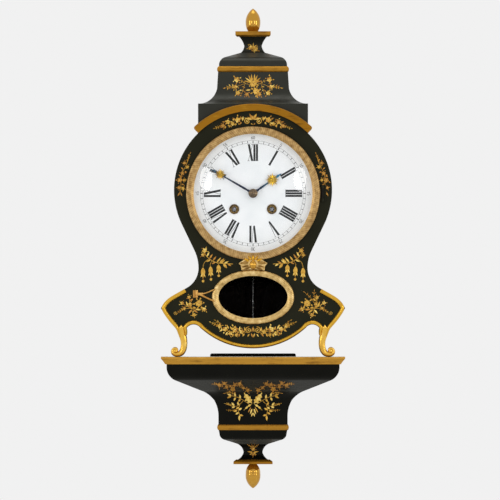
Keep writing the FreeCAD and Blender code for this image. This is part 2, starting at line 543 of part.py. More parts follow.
def make_case():
    shell = free_sketch([case_outline()], "case_back")
    deep = "case_front-panel_thick-case_back"
    node("case_sides", combine("Cut", extrude(shell, deep), extrude(inset(shell, "case_wall"), deep)))

    back = extrude(inset(shell, "case_wall"), "back_board_thick")
    node("back_board", back)

    face = extrude(free_sketch([case_outline(), ("circle", "0", "dial_z", "dial_opening")],
                               "case_front-panel_thick"), "panel_thick")
    window = oval("oval_opening_half", "oval_opening_tall", "case_front-panel_thick", "panel_thick")
    node("front_panel", combine("Cut", face, window))

    rim = free_sketch([case_outline()], "case_front")
    ring = combine("Cut", extrude(rim, "edge_proud"), extrude(inset(rim, "edge_wide"), "edge_proud"))
    lower = box("-case_corner_half*2", "case_front", "0", "case_corner_half*4", "edge_proud", "edge_top")
    node("edge_moulding", combine("Common", ring, lower))

    bow = new_body("eyebrow_bow")
    inner = "case_radius+case_fit"
    start = "case_front-eyebrow_deep"
    end = "case_front+eyebrow_proud"
    turn_facing(bow, [(end, inner), (end, "eyebrow_radius-eyebrow_round", "eyebrow_round*corner_bulge"),
                      (end + "-eyebrow_round", "eyebrow_radius"), (start, "eyebrow_radius"),
                      (start, inner)],
                "0", "case_round_z", "eyebrow_angle+eyebrow_end_round")
    del nodes["eyebrow_bow"]
    half = "(eyebrow_angle/2*1deg)"
    corner = "(eyebrow_radius-eyebrow_end_round)"
    shoulder = "(%s-asin(eyebrow_end_round/%s))" % (half, corner)
    ends = both_sides([("eyebrow_radius*sin(%s)" % shoulder, "case_round_z+eyebrow_radius*cos(%s)" % shoulder,
                        "eyebrow_end_round*corner_bulge"),
                       ("%s*sin(%s)" % (corner, half), "case_round_z+%s*cos(%s)" % (corner, half)),
                       ("case_radius*sin(%s)" % half, "case_round_z+case_radius*cos(%s)" % half,
                        "-case_radius*(1-cos(%s))" % half)],
                      top="eyebrow_radius*(1-cos(%s))" % shoulder)
    node("eyebrow_moulding", combine("Common", bow, extrude(free_sketch([ends], start),
                                                            "eyebrow_deep+eyebrow_proud")))


def foot_outline(side):
    """A leg that narrows to the ankle and ends in a toe rolled up outwards."""
    over = "curl_radius*(1-sqrt((1-sqrt(1-(curl_dip/curl_radius)^2))/2))"
    points = [("foot_inner", "foot_z"), ("foot_outer", "foot_z", "-foot_calf_curve"),
              ("ankle_half", "ankle_z", "-ankle_curve"),
              ("curl_half-sqrt(curl_radius^2-curl_dip^2)", "curl_radius+curl_dip", over),
              ("curl_half+curl_radius", "curl_radius", "curl_radius*corner_bulge"), ("curl_half", "0"),
              ("curl_half-curl_radius", "0", "heel_curve"), ("foot_inner", "shin_z", "shin_curve")]
    if side > 0:
        return points
    flipped = []
    for index in range(len(points) - 1, -1, -1):
        before = points[index - 1]
        flipped.append(("-(%s)" % points[index][0], points[index][1], before[2] if len(before) > 2 else None))
    return flipped


def make_feet():
    feet = new_body("scroll_feet")
    for start in ("case_front-foot_front_gap-foot_deep", "foot_rear_start"):
        pad(feet, [foot_outline(1), foot_outline(-1)], start, "foot_deep")
    eyes = [("circle", x, "curl_radius", "curl_eye") for x in ("-curl_half", "curl_half")]
    pad(feet, eyes, "case_front-foot_front_gap", "curl_eye_proud")


# Crown

def make_crown():
    block = extrude(free_sketch([both_sides([("crown_box_half", "crown_base_z"),
                                             ("crown_box_half", "case_round_z")])], "case_back"),
                    "crown_box_front-case_back")
    saddle = rod("0", "case_back", "case_round_z", "case_radius+case_fit", "crown_box_front")
    bell = mitred([("crown_bell_half", "crown_band_z"),
                   ("crown_cove_half", "crown_cove_z", "-crown_cove_hollow"),
                   ("crown_foot_half", "crown_base_z")], "1", "crown_reach", "crown_box_half", "case_back")
    node("crown_base", combine("Fuse", combine("Cut", block, saddle), bell))
    node("crown_band", mitred([("crown_band_half", "crown_band_z+crown_band_tall", "crown_band_round"),
                               ("crown_band_half", "crown_band_z")],
                              "1", "crown_reach", "crown_box_half", "case_back"))
    node("crown_top", mitred([("crown_flare_half", "crown_cap_z", "-crown_neck_hollow"),
                              ("crown_neck_half", "crown_neck_z", "-crown_throat_hollow"),
                              ("crown_throat_half", "crown_throat_z"),
                              ("crown_dome_half", "crown_dome_z", "crown_dome_round"),
                              ("crown_top_half", "crown_band_z+crown_band_tall")],
                             "1", "crown_reach", "crown_box_half", "case_back"))
    node("crown_cap", mitred([("crown_cap_half", "crown_cap_z+crown_cap_tall"),
                              ("crown_cap_half", "crown_cap_z+crown_cap_tall*crown_cap_step_share"),
                              ("crown_cap_foot", "crown_cap_z")],
                             "1", "crown_reach", "crown_box_half", "case_back"))
    finial = new_body("crown_finial")
    seat = "crown_cap_z+crown_cap_tall"
    turn_upright(finial, [("0", seat + "+egg_long"), ("apex_flat", seat + "+egg_long", "egg_bulge"),
                          ("egg_half", seat + "+egg_wide_rise", "egg_foot_bulge"),
                          ("egg_neck", seat), ("0", seat)], "(crown_cap_half+crown_reach+case_back)/2")


# Doors: the glazed dial bezel and the pendulum window

def knuckle(body, x, front, low, tall, inner):
    """A moving hinge barrel with a tab that reaches in towards its door."""
    side = 1 if num(x) > num(inner) else -1
    back = "-(%s)+hinge_tab" % front
    fore = "-(%s)-hinge_tab" % front
    near = "(%s)-(%d)*sqrt(hinge_radius^2-hinge_tab^2)" % (x, side)
    around = "hinge_radius+sqrt(hinge_radius^2-hinge_tab^2)"
    loop = [(inner, back), (near, back, around), (near, fore), (inner, fore)]
    if side < 0:
        loop = [(near, fore, around), (near, back), (inner, back), (inner, fore)]
    feature = body.newObject("PartDesign::Pad", "Knuckle")
    hole = ("circle", x, "-(%s)" % front, "hinge_pin+hinge_fit")
    feature.Profile = on_plane(body, "XY_Plane", [loop, hole], ("0", "0", low))
    bind(feature, "Length", tall)


def fixed_hinge(label, x, front, middle, half, ear, leaf):
    """A leaf on the case front, two barrels and the pin that the door turns on."""
    side = "1" if num(x) > 0 else "-1"
    body = new_body(label)
    inner = "(%s)-(%s)*hinge_radius" % (x, side)
    outer = "(%s)+(%s)*(%s)" % (x, side, leaf)
    reach = "((%s)+hinge_gap+(%s))" % (half, ear)
    pad(body, [rectangle(inner, middle + "-" + reach, outer, middle + "+" + reach)],
        "case_front", "hinge_leaf_thick")
    wall = "-case_front-hinge_leaf_thick/2"
    left, right = "(%s)-hinge_radius" % x, "(%s)+hinge_radius" % x
    for low in (middle + "-" + reach, middle + "+(%s)+hinge_gap" % half):
        barrel = [(left, wall), (right, wall), (right, "-(%s)" % front, "hinge_radius*corner_bulge"),
                  (x, "-(%s)-hinge_radius" % front, "hinge_radius*corner_bulge"), (left, "-(%s)" % front)]
        feature = body.newObject("PartDesign::Pad", "Barrel")
        feature.Profile = on_plane(body, "XY_Plane", [barrel], ("0", "0", low))
        bind(feature, "Length", ear)
    pin = body.newObject("PartDesign::Pad", "Pin")
    pin.Profile = on_plane(body, "XY_Plane", [("circle", x, "-(%s)" % front, "hinge_pin")],
                           ("0", "0", middle + "-" + reach))
    bind(pin, "Length", reach + "*2")


def make_dial_door():
    back = "case_front+bezel_gap"
    front = back + "+bezel_thick"
    lip = front + "-bezel_lip"
    bezel = new_body("dial_bezel")
    turn_facing(bezel, [(front + "-bezel_slope", "bezel_inner"), (front, "bezel_inner+bezel_slope*2"),
                        (front, "bezel_radius-bezel_round", "bezel_round*corner_bulge"),
                        (front + "-bezel_round", "bezel_radius"),
                        (back, "bezel_radius"), (back, "bezel_rebate"), (lip, "bezel_rebate"),
                        (lip, "bezel_inner")], "0", "dial_z")
    knuckle(bezel, "hinge_x", "hinge_front", "dial_z-hinge_half", "hinge_half*2", "bezel_radius-hinge_ear/2")
    fixed_hinge("dial_hinge", "hinge_x", "hinge_front", "dial_z", "hinge_half", "hinge_ear", "hinge_leaf")

    glass = new_body("dial_glass")
    inside = lip + "-glass_thick"
    turn_facing(glass, [(lip + "+glass_rise", "0"), (lip + "+glass_rise", "apex_flat", "glass_rise/4"),
                        (lip, "glass_flat"), (lip, "glass_radius"), (inside, "glass_radius"),
                        (inside, "glass_flat", "-glass_rise/4"), (inside + "+glass_rise", "apex_flat"),
                        (inside + "+glass_rise", "0")], "0", "dial_z")

    crest = both_sides([("0", "ornament_z+ornament_top", "-ornament_top/5"),
                        ("ornament_half", "ornament_z+ornament_top/4", "ornament_top/6"),
                        ("ornament_half*ornament_wing_share",
                         "ornament_z-ornament_drop*ornament_wing_drop_share", "-ornament_drop/6"),
                        ("0", "ornament_z-ornament_drop")])
    solid = extrude(free_sketch([crest], back), "bezel_thick+ornament_proud")
    rim = rod("0", "case_front", "dial_z", "bezel_radius", "bezel_gap+bezel_thick")
    node("bezel_ornament", combine("Cut", solid, rim))


def make_window():
    back = "case_front+oval_gap"
    ring = combine("Cut", oval("oval_half", "oval_tall", back, "oval_thick"),
                   oval("oval_inner_half", "oval_inner_tall", back, "oval_thick"))
    pane_half = "oval_inner_half+oval_glass_over"
    pane_tall = "oval_inner_tall+oval_glass_over"
    rebate = oval(pane_half, pane_tall, back, "oval_glass_thick")
    node("oval_frame", combine("Cut", ring, rebate))
    node("oval_glass", oval(pane_half, pane_tall, back, "oval_glass_thick"))

    strap = new_body("oval_strap")
    face = back + "+oval_thick"
    clear = "-strap_x+hinge_radius+hinge_gap*2"
    pad(strap, [[("-strap_tip", "strap_upper_z+strap_wide/2"), ("-strap_tip", "strap_upper_z-strap_wide/2"),
                 ("-strap_x+strap_fork", "(strap_upper_z+strap_lower_z)/2"),
                 ("-strap_tip", "strap_lower_z+strap_wide/2"), ("-strap_tip", "strap_lower_z-strap_wide/2"),
                 (clear, "strap_z-strap_half"), ("-strap_x", "strap_z-strap_half"),
                 ("-strap_x", "strap_z+strap_half"), (clear, "strap_z+strap_half")]], face, "strap_thick")
    knuckle(strap, "-strap_x", "strap_front", "strap_z-strap_half", "strap_half*2", "-strap_x+hinge_radius")
    fixed_hinge("oval_hinge", "-strap_x", "strap_front", "strap_z", "strap_half", "strap_ear", "strap_leaf")


# Dial and hands

def make_dial():
    seat = "case_front-panel_thick"
    wind_z = "dial_z-wind_drop"
    plate = new_body("dial_plate")
    holes = [("circle", x, wind_z, "wind_hole") for x in ("-wind_x", "wind_x")]
    holes.append(("circle", "0", "dial_z", "dial_hole"))
    pad(plate, [("circle", "0", "dial_z", "dial_plate_radius")] + holes,
        seat + "-dial_plate_thick", "dial_plate_thick")
    feet = [("circle", x, "dial_z+(%s)" % z, "dial_post") for x in ("-dial_post_x", "dial_post_x")
            for z in ("-dial_post_z", "dial_post_z")]
    pad(plate, feet, "front_plate_front+plate_thick",
        seat + "-dial_plate_thick-front_plate_front-plate_thick")

    dial = new_body("dial")
    edge = seat + "+dial_edge"
    turn_facing(dial, [(edge + "+dial_rise", "dial_hole", "dial_rise/4"), (edge, "dial_radius"),
                       (seat, "dial_radius"), (seat, "dial_radius-dial_shell", "-dial_rise/4"),
                       (edge + "+dial_rise-dial_shell", "dial_hole")], "0", "dial_z")
    cut(dial, holes[:2], seat, "dial_edge+dial_rise*2")

    grommets = new_body("winding_grommets")
    far = "(sqrt(wind_x^2+wind_drop^2)-grommet_outer-dial_hole)/(dial_radius-dial_hole)"
    under = "%s+dial_rise*(1-(%s)^2)+grommet_lift" % (edge, far)
    for x in ("-wind_x", "wind_x"):
        turn_facing(grommets, [(under + "+grommet_flange", "grommet_bore"),
                               (under + "+grommet_flange", "grommet_outer"), (under, "grommet_outer"),
                               (under, "grommet_tube"), (seat, "grommet_tube"), (seat, "grommet_bore")],
                    x, wind_z)


def make_hand(label, front, angle, sun_place, sun, tip, bore):
    hand = new_body(label, "0", "dial_z")
    hand.Placement = FreeCAD.Placement(hand.Placement.Base, FreeCAD.Rotation(vec(0, 1), num(angle)))
    bind(hand, "Placement.Rotation.Angle", angle)
    reach = "sqrt(%s^2-hand_stem^2)"
    around = reach % sun
    hub = reach % "hand_hub"
    outline = both_sides([("hand_point", tip),
                          ("hand_stem", "%s+%s" % (sun_place, around), sun + "-hand_stem"),
                          ("hand_stem", "%s-%s" % (sun_place, around)),
                          ("hand_stem", hub, "hand_hub+" + hub)])
    pad(hand, [outline, ("circle", "0", "0", bore)], front, "hand_thick")


def make_hands():
    minute_front = "hour_front+hand_thick+hand_space"
    make_hand("hour_hand", "hour_front", "hour_angle", "hour_sun_r", "hour_sun", "hour_tip", "hour_pipe")
    make_hand("minute_hand", minute_front, "minute_angle", "minute_sun_r", "minute_sun", "minute_tip",
              "cannon_radius")
    collet = new_body("hand_collet", "0", "dial_z")
    seat = minute_front + "+hand_thick"
    turn_facing(collet, [(seat + "+collet_thick", "cannon_radius"),
                         (seat + "+collet_thick", "collet_radius*collet_top_share",
                          "collet_radius*collet_bulge_share"),
                         (seat, "collet_radius"), (seat, "cannon_radius")])


# Movement frame

ARBORS = [("relay_x", "relay_z"), ("-third_x", "third_z"), ("0", "escape_z"), ("-pin_x", "pin_z"),
          ("-fly_x", "fly_z"), ("hammer_x", "hammer_z")]
WINDERS = [("-wind_x", "-wind_drop"), ("wind_x", "-wind_drop")]
CORNERS = [(x, z) for x in ("-plate_half+pillar_in", "plate_half-pillar_in")
           for z in ("-plate_low+pillar_in", "plate_high-pillar_in")]


def circles(places, radius):
    return [("circle", x, z, radius) for x, z in places]


def make_movement_frame():
    outline = rectangle("-plate_half", "-plate_low", "plate_half", "plate_high")
    shared = circles(ARBORS, "pivot+pivot_fit") + circles(CORNERS, "pillar_bore")
    back = new_body("movement_back_plate", "0", "dial_z")
    pad(back, [outline] + shared + circles(WINDERS, "wind_pivot+pivot_fit")
        + circles([("0", "0")], "pivot+pivot_fit") + circles([("0", "anchor_z")], "arbor+pivot_fit"),
        "back_plate_front", "plate_thick")
    front = new_body("movement_front_plate", "0", "dial_z")
    pad(front, [outline] + shared + circles(WINDERS, "wind_arbor+pivot_fit")
        + circles([("0", "0")], "arbor+pivot_fit") + circles([("0", "anchor_z")], "pivot+pivot_fit"),
        "front_plate_front", "plate_thick")
    pad(front, circles([("0", "motion_z")], "pivot"), "front_plate_front+plate_thick",
        "hour_wheel_front+motion_thick-front_plate_front-plate_thick+leaf_extra*2")

    between = "front_plate_front-back_plate_front-plate_thick"
    pad(back, circles(CORNERS, "pillar_radius") + circles(CORNERS, "pillar_bore"),
        "back_plate_front+plate_thick", between)
    screws = new_body("movement_screws", "0", "dial_z")
    pad(screws, circles(CORNERS, "pillar_screw"), "back_plate_front-screw_head", "screw_head")
    pad(screws, circles(CORNERS, "pillar_bore"), "back_plate_front", "plate_thick*3")
    pad(screws, circles(CORNERS, "pillar_screw"), "front_plate_front+plate_thick", "screw_head")
    pad(screws, circles(CORNERS, "pillar_bore"), "front_plate_front-plate_thick*2", "plate_thick*3")

    cock = new_body("suspension_cock", "0", "dial_z+anchor_z")
    bar = rectangle("-cock_half", "-cock_tall/2", "cock_half", "cock_tall/2")
    pad(cock, [bar], "cock_front", "cock_deep")
    feet = [rectangle("-cock_half", "-cock_tall/2", "-cock_half+cock_foot", "cock_tall/2"),
            rectangle("cock_half-cock_foot", "-cock_tall/2", "cock_half", "cock_tall/2")]
    pad(cock, feet, "cock_front+cock_deep", "back_plate_front-cock_front-cock_deep")
    cut(cock, [rectangle("-cock_slot_half", "-cock_tall", "cock_slot_half", "cock_tall/3")],
        "pendulum_front-cock_slot/2", "cock_slot")
    cut(cock, circles([("0", "0")], "cock_pin+pivot_fit"), "cock_front", "cock_deep")


# Wheels: toothed discs on arbors, cut by formula

def toothed(teeth, module, front, thick, first=0.0):
    """A disc with pointed teeth, the first of them at an angle in the front view."""
    count = int(round(num(teeth)))
    pitch_radius = count * num(module) / 2
    tip = pitch_radius + num("addendum") * num(module)
    root = pitch_radius - num("dedendum") * num(module)
    points = []
    for index in range(count):
        for radius, part_turn in ((tip, 0.0), (root, 0.5)):
            angle = first + 2 * math.pi * (index + part_turn) / count
            points.append(vec(radius * math.cos(angle), -num(front), radius * math.sin(angle)))
    points.append(points[0])
    return Part.Face(Part.makePolygon(points)).extrude(TO_FRONT * num(thick))


def shaft(radius, front, end):
    return Part.makeCylinder(num(radius), num(end) - num(front), vec(0, -num(front), 0), TO_FRONT)


def pivoted(front="back_plate_front+plate_thick+end_shake", end="front_plate_front-end_shake"):
    return [shaft("arbor", front, end), shaft("pivot", "back_plate_front", "front_plate_front+plate_thick")]


def wheel(label, pieces, x, z, bore=None):
    shape = pieces[0]
    for piece in pieces[1:]:
        shape = shape.fuse(piece)
    shape = shape.removeSplitter()
    if bore is not None:
        shape = shape.cut(shaft(bore, "0", "case_front*2"))
    item = doc.addObject("Part::Feature", label)
    item.Shape = shape
    item.Placement = FreeCAD.Placement(vec(num(x), 0, num("dial_z") + num(z)), FreeCAD.Rotation())
    return node(label, item)


def mesh_angle(driver, driver_place, driven, driven_place, driver_first=0.0):
    """The first-tooth angle that drops a driven wheel's tooth space onto its driver's tooth."""
    a = [num(value) for value in driver_place]
    b = [num(value) for value in driven_place]
    towards = math.atan2(b[1] - a[1], b[0] - a[0])
    ratio = num(driver) / num(driven)
    return towards + math.pi - ratio * (driver_first - towards) - math.pi / num(driven)


def leaves(count, module, wheel_front, thick, first):
    return toothed(count, module, wheel_front + "-leaf_extra", thick + "+leaf_extra*2", first)


def make_train():
    going, strike = ("wind_x", "-wind_drop"), ("-wind_x", "-wind_drop")
    relay, centre = ("relay_x", "relay_z"), ("0", "0")
    third, escape = ("-third_x", "third_z"), ("0", "escape_z")
    pin, fly = ("-pin_x", "pin_z"), ("-fly_x", "fly_z")
    motion = ("0", "motion_z")

    drum_front = "barrel_front+wheel_thick"
    for label, place in (("going_barrel", going), ("strike_barrel", strike)):
        drum = shaft("drum_radius", drum_front, drum_front + "+drum_long")
        wheel(label, [toothed("barrel_teeth", "barrel_module", "barrel_front", "wheel_thick"), drum],
              place[0], place[1], "wind_arbor+pivot_fit")
    for label, place in (("going_arbor", going), ("strike_arbor", strike)):
        arbor = new_body(label, place[0], "dial_z+(%s)" % place[1])
        shoulder = "back_plate_front+plate_thick+end_shake"
        pad(arbor, circles([("0", "0")], "wind_arbor"), shoulder,
            "front_plate_front+plate_thick+end_shake-(%s)" % shoulder)
        pad(arbor, circles([("0", "0")], "wind_pivot"), "back_plate_front", "plate_thick+end_shake")
        pad(arbor, [rectangle("-wind_square", "-wind_square", "wind_square", "wind_square")],
            "front_plate_front+plate_thick+end_shake", "wind_end-front_plate_front-plate_thick-end_shake")

    wheel("intermediate_wheel",
          [toothed("relay_teeth", "relay_module", "relay_front", "wheel_thick"),
           leaves("relay_leaves", "barrel_module", "barrel_front", "wheel_thick",
                  mesh_angle("barrel_teeth", going, "relay_leaves", relay))] + pivoted(), *relay)
    wheel("centre_wheel",
          [toothed("centre_teeth", "centre_module", "centre_front", "wheel_thick"),
           leaves("centre_leaves", "relay_module", "relay_front", "wheel_thick",
                  mesh_angle("relay_teeth", relay, "centre_leaves", centre)),
           shaft("arbor", "back_plate_front+plate_thick+end_shake", "hour_front+hand_thick*2+hand_space"),
           shaft("pivot", "back_plate_front", "back_plate_front+plate_thick*2")], *centre)
    wheel("third_wheel",
          [toothed("third_teeth", "centre_module", "third_front", "wheel_thick"),
           leaves("third_leaves", "centre_module", "centre_front", "wheel_thick",
                  mesh_angle("centre_teeth", centre, "third_leaves", third))] + pivoted(), *third)
    wheel("escape_wheel",
          [toothed("escape_teeth", "escape_radius*2/escape_teeth", "escape_front", "wheel_thick"),
           leaves("escape_leaves", "centre_module", "third_front", "wheel_thick",
                  mesh_angle("third_teeth", third, "escape_leaves", escape))] + pivoted(), *escape)

    lifting = []
    for index in range(int(num("pin_count"))):
        stud = shaft("pin_radius", "pin_front-pin_long", "pin_front+wheel_thick/2")
        stud.translate(vec(num("pin_ring"), 0, 0))
        stud.rotate(vec(0, 0, 0), vec(0, 1, 0), 360 * index / num("pin_count"))
        lifting.append(stud)
    wheel("strike_pin_wheel",
          [toothed("pin_teeth", "pin_module", "pin_front", "wheel_thick"),
           leaves("pin_leaves", "barrel_module", "barrel_front", "wheel_thick",
                  mesh_angle("barrel_teeth", strike, "pin_leaves", pin))] + pivoted() + lifting, *pin)
    vane = Part.makeBox(num("fly_half*2"), num("fly_wide"), num("fly_thick"),
                        vec(-num("fly_half"), -num("fly_front+fly_wide"), -num("fly_thick/2")))
    wheel("fly", [leaves("fly_leaves", "pin_module", "pin_front", "wheel_thick",
                         mesh_angle("pin_teeth", pin, "fly_leaves", fly)), vane] + pivoted(), *fly)

    pipe_end = "hour_front+hand_thick*2+hand_space+collet_thick"
    cannon = [toothed("cannon_teeth", "motion_module", "cannon_front", "motion_thick"),
              shaft("cannon_radius", "cannon_front-end_shake", pipe_end)]
    wheel("cannon_pipe", cannon, "0", "0", "arbor+pivot_fit")
    wheel("minute_wheel",
          [toothed("minute_wheel_teeth", "motion_module", "cannon_front", "motion_thick",
                   mesh_angle("cannon_teeth", centre, "minute_wheel_teeth", motion)),
           shaft("pivot*2", "cannon_front", "hour_wheel_front+motion_thick"),
           leaves("minute_leaves", "hour_module", "hour_wheel_front", "motion_thick", 0.0)],
          "0", "motion_z", "pivot+pivot_fit")
    wheel("hour_wheel",
          [toothed("hour_teeth", "hour_module", "hour_wheel_front", "motion_thick",
                   mesh_angle("minute_leaves", motion, "hour_teeth", centre)),
           shaft("hour_pipe", "hour_wheel_front", "hour_front+hand_thick")],
          "0", "0", "cannon_radius+pivot_fit")


# Escapement, pendulum and strike

def make_escapement():
    anchor = new_body("anchor", "0", "dial_z+anchor_z")
    drop = "(anchor_z-escape_z)"
    bow = both_sides([("0", "anchor_hub"), ("pallet_half", "-pallet_heel_share*" + drop),
                      ("pallet_half+pallet_wide/3", "-pallet_tip_share*" + drop),
                      ("pallet_half-pallet_wide/3", "-pallet_point_share*" + drop),
                      ("pallet_half-pallet_wide", "-pallet_inner_share*" + drop),
                      ("0", "-anchor_hub*anchor_under_share")])
    pad(anchor, [bow], "anchor_front", "anchor_thick")
    pad(anchor, circles([("0", "0")], "arbor"), "crutch_front",
        "front_plate_front-end_shake-crutch_front")
    pad(anchor, circles([("0", "0")], "pivot"), "front_plate_front-end_shake", "plate_thick+end_shake")

    arm = new_body("crutch_arm")
    eye = "sqrt(anchor_hub^2-crutch_half^2)"
    low = "crutch_end_z"
    shape = both_sides([("crutch_half", "dial_z+anchor_z-%s" % eye), ("crutch_half", low)],
                       top="anchor_hub+%s" % eye)
    pad(arm, [shape, ("circle", "0", "dial_z+anchor_z", "arbor")], "crutch_front", "crutch_thick")
    pad(arm, [rectangle("-crutch_fork_half", low, "crutch_fork_half", low + "+crutch_fork_tall")],
        "pendulum_front-crutch_fork_half", "crutch_front+crutch_thick-pendulum_front+crutch_fork_half")
    del nodes["crutch_arm"]
    room = "rod_radius+crutch_fork_gap"
    slot = box("-(%s)" % room, "pendulum_front-crutch_fork_half*2", low + "-crutch_fork_tall",
               "(%s)*2" % room, "crutch_fork_half*2+%s" % room, "crutch_fork_tall*3")
    node("crutch", combine("Cut", arm, slot))


def upright(front, z, radius, length):
    solid = doc.addObject("Part::Cylinder", "Upright")
    bind(solid, "Radius", radius)
    bind(solid, "Height", length)
    bind(solid, "Placement.Base.y", "-(%s)" % front)
    bind(solid, "Placement.Base.z", z)
    return solid


def make_pendulum():
    pivot = "dial_z+anchor_z"
    strip = box("-spring_thick/2", "pendulum_front-spring_half", pivot + "-spring_low", "spring_thick",
                "spring_half*2", "spring_low")
    pin = rod("0", "cock_front", pivot, "cock_pin", "cock_deep")
    node("suspension_spring", combine("Fuse", strip, pin))
    node("pendulum_rod", upright("pendulum_front", "rod_end", "rod_radius", pivot + "-spring_low-rod_end"))

    lens = new_body("bob_lens")
    turn_facing(lens, [("pendulum_front+bob_half", "0"),
                       ("pendulum_front+bob_half", "apex_flat", "bob_half/4"),
                       ("pendulum_front+bob_edge", "bob_radius"),
                       ("pendulum_front-bob_edge", "bob_radius", "bob_half/4"),
                       ("pendulum_front-bob_half", "apex_flat"), ("pendulum_front-bob_half", "0")],
                "0", "bob_z")
    del nodes["bob_lens"]
    bore = upright("pendulum_front", "bob_z-bob_radius*2", "rod_radius", "bob_radius*4")
    node("pendulum_bob", combine("Cut", lens, bore))
    nut_z = "bob_z-bob_radius-nut_tall"
    nut = upright("pendulum_front", nut_z, "nut_radius", "nut_tall")
    node("rating_nut", combine("Cut", nut, upright("pendulum_front", nut_z, "rod_radius", "nut_tall")))


def make_strike():
    middle = "dial_z+bell_z"
    bell = new_body("bell", "-bell_x", middle)
    rim = "bell_front+bell_deep"
    turn_facing(bell, [("bell_front", "bell_post", "-bell_deep/4"), (rim, "bell_radius"),
                       (rim, "bell_radius-bell_wall", "bell_deep/4"), ("bell_front+bell_wall", "bell_post")])
    stand = new_body("bell_stand", "-bell_x", "dial_z")
    foot = "back_plate_front+plate_thick"
    strip = rectangle("-bell_strip_half", "bell_strip_low", "bell_strip_half", "bell_z+bell_strip_half")
    pad(stand, [strip], foot, "bell_strip_thick")
    pad(stand, circles([("0", "bell_z")], "bell_collar"), foot + "+bell_strip_thick",
        "bell_front-(%s)-bell_strip_thick" % foot)
    pad(stand, circles([("0", "bell_z")], "bell_post"), "bell_front", "bell_deep/2")

    hammer = new_body("hammer", "hammer_x", "dial_z+hammer_z")
    face = "(bell_radius+hammer_gap-bell_x-hammer_x)"
    height = "(bell_z-hammer_z)"
    pad(hammer, [[(face, height + "+hammer_head"), (face + "+hammer_long", height + "+hammer_head"),
                  (face + "+hammer_long", height + "-hammer_head/2"), ("hammer_hub", "hammer_hub"),
                  ("hammer_hub", "-hammer_hub"), ("-hammer_hub", "-hammer_hub"),
                  ("-hammer_hub", "hammer_hub"), (face, height + "-hammer_head")]],
        "hammer_front", "hammer_thick")
    start = "back_plate_front+plate_thick+end_shake"
    pad(hammer, circles([("0", "0")], "arbor"), start, "front_plate_front-end_shake-(%s)" % start)
    pad(hammer, circles([("0", "0")], "pivot"), "back_plate_front",
        "front_plate_front+plate_thick-back_plate_front")


def check_and_write():
    doc.recompute()
    for item in doc.Objects:
        if "Invalid" in item.State or "Error" in item.State:
            raise RuntimeError("%s did not build: %s" % (item.Label, item.State))
    for label, item in nodes.items():
        if item.Shape.isNull() or not item.Shape.isValid():
            raise RuntimeError("%s has no valid solid" % label)
    os.makedirs("parts", exist_ok=True)
    for label, item in nodes.items():
        item.Shape.exportStep("parts/%s.step" % label)
    print(len(nodes), "sub-parts written")


make_bracket()
make_case()
make_feet()
make_crown()
make_dial_door()
make_window()
make_dial()
make_hands()
make_movement_frame()
make_train()
make_escapement()
make_pendulum()
make_strike()
check_and_write()
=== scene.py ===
import random
from math import atan2, copysign, cos, exp, hypot, pi, radians, sin, tau

import bmesh
import bpy
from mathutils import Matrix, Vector
from mathutils.bvhtree import BVHTree


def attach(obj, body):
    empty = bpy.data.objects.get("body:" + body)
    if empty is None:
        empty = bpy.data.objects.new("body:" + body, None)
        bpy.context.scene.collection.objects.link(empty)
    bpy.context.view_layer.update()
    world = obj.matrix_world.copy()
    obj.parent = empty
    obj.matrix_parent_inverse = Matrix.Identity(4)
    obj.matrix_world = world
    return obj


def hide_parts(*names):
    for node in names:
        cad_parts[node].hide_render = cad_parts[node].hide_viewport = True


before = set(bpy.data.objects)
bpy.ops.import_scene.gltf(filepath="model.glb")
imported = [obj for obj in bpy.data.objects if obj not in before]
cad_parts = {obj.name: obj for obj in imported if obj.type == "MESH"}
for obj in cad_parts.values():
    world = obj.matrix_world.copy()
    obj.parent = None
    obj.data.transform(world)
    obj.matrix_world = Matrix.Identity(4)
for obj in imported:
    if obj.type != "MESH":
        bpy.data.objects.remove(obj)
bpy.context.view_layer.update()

# Places are in millimetres: x to the right, z up from the bracket's shelf, front from the wall.
MM = 0.001
CASE_FRONT = 130
DIAL_Z = 270
DIAL_RADIUS = 100
DIAL_WELL = 104
OVAL_Z = 99


# Materials. Colours of three values are given as they look on a screen, 0 to 255.

def tone(red, green, blue):
    """The linear values that a shader takes for a colour."""
    linear = []
    for part in (red, green, blue):
        share = part / 255
        linear.append(share / 12.92 if share <= 0.04045 else ((share + 0.055) / 1.055) ** 2.4)
    return tuple(linear) + (1,)


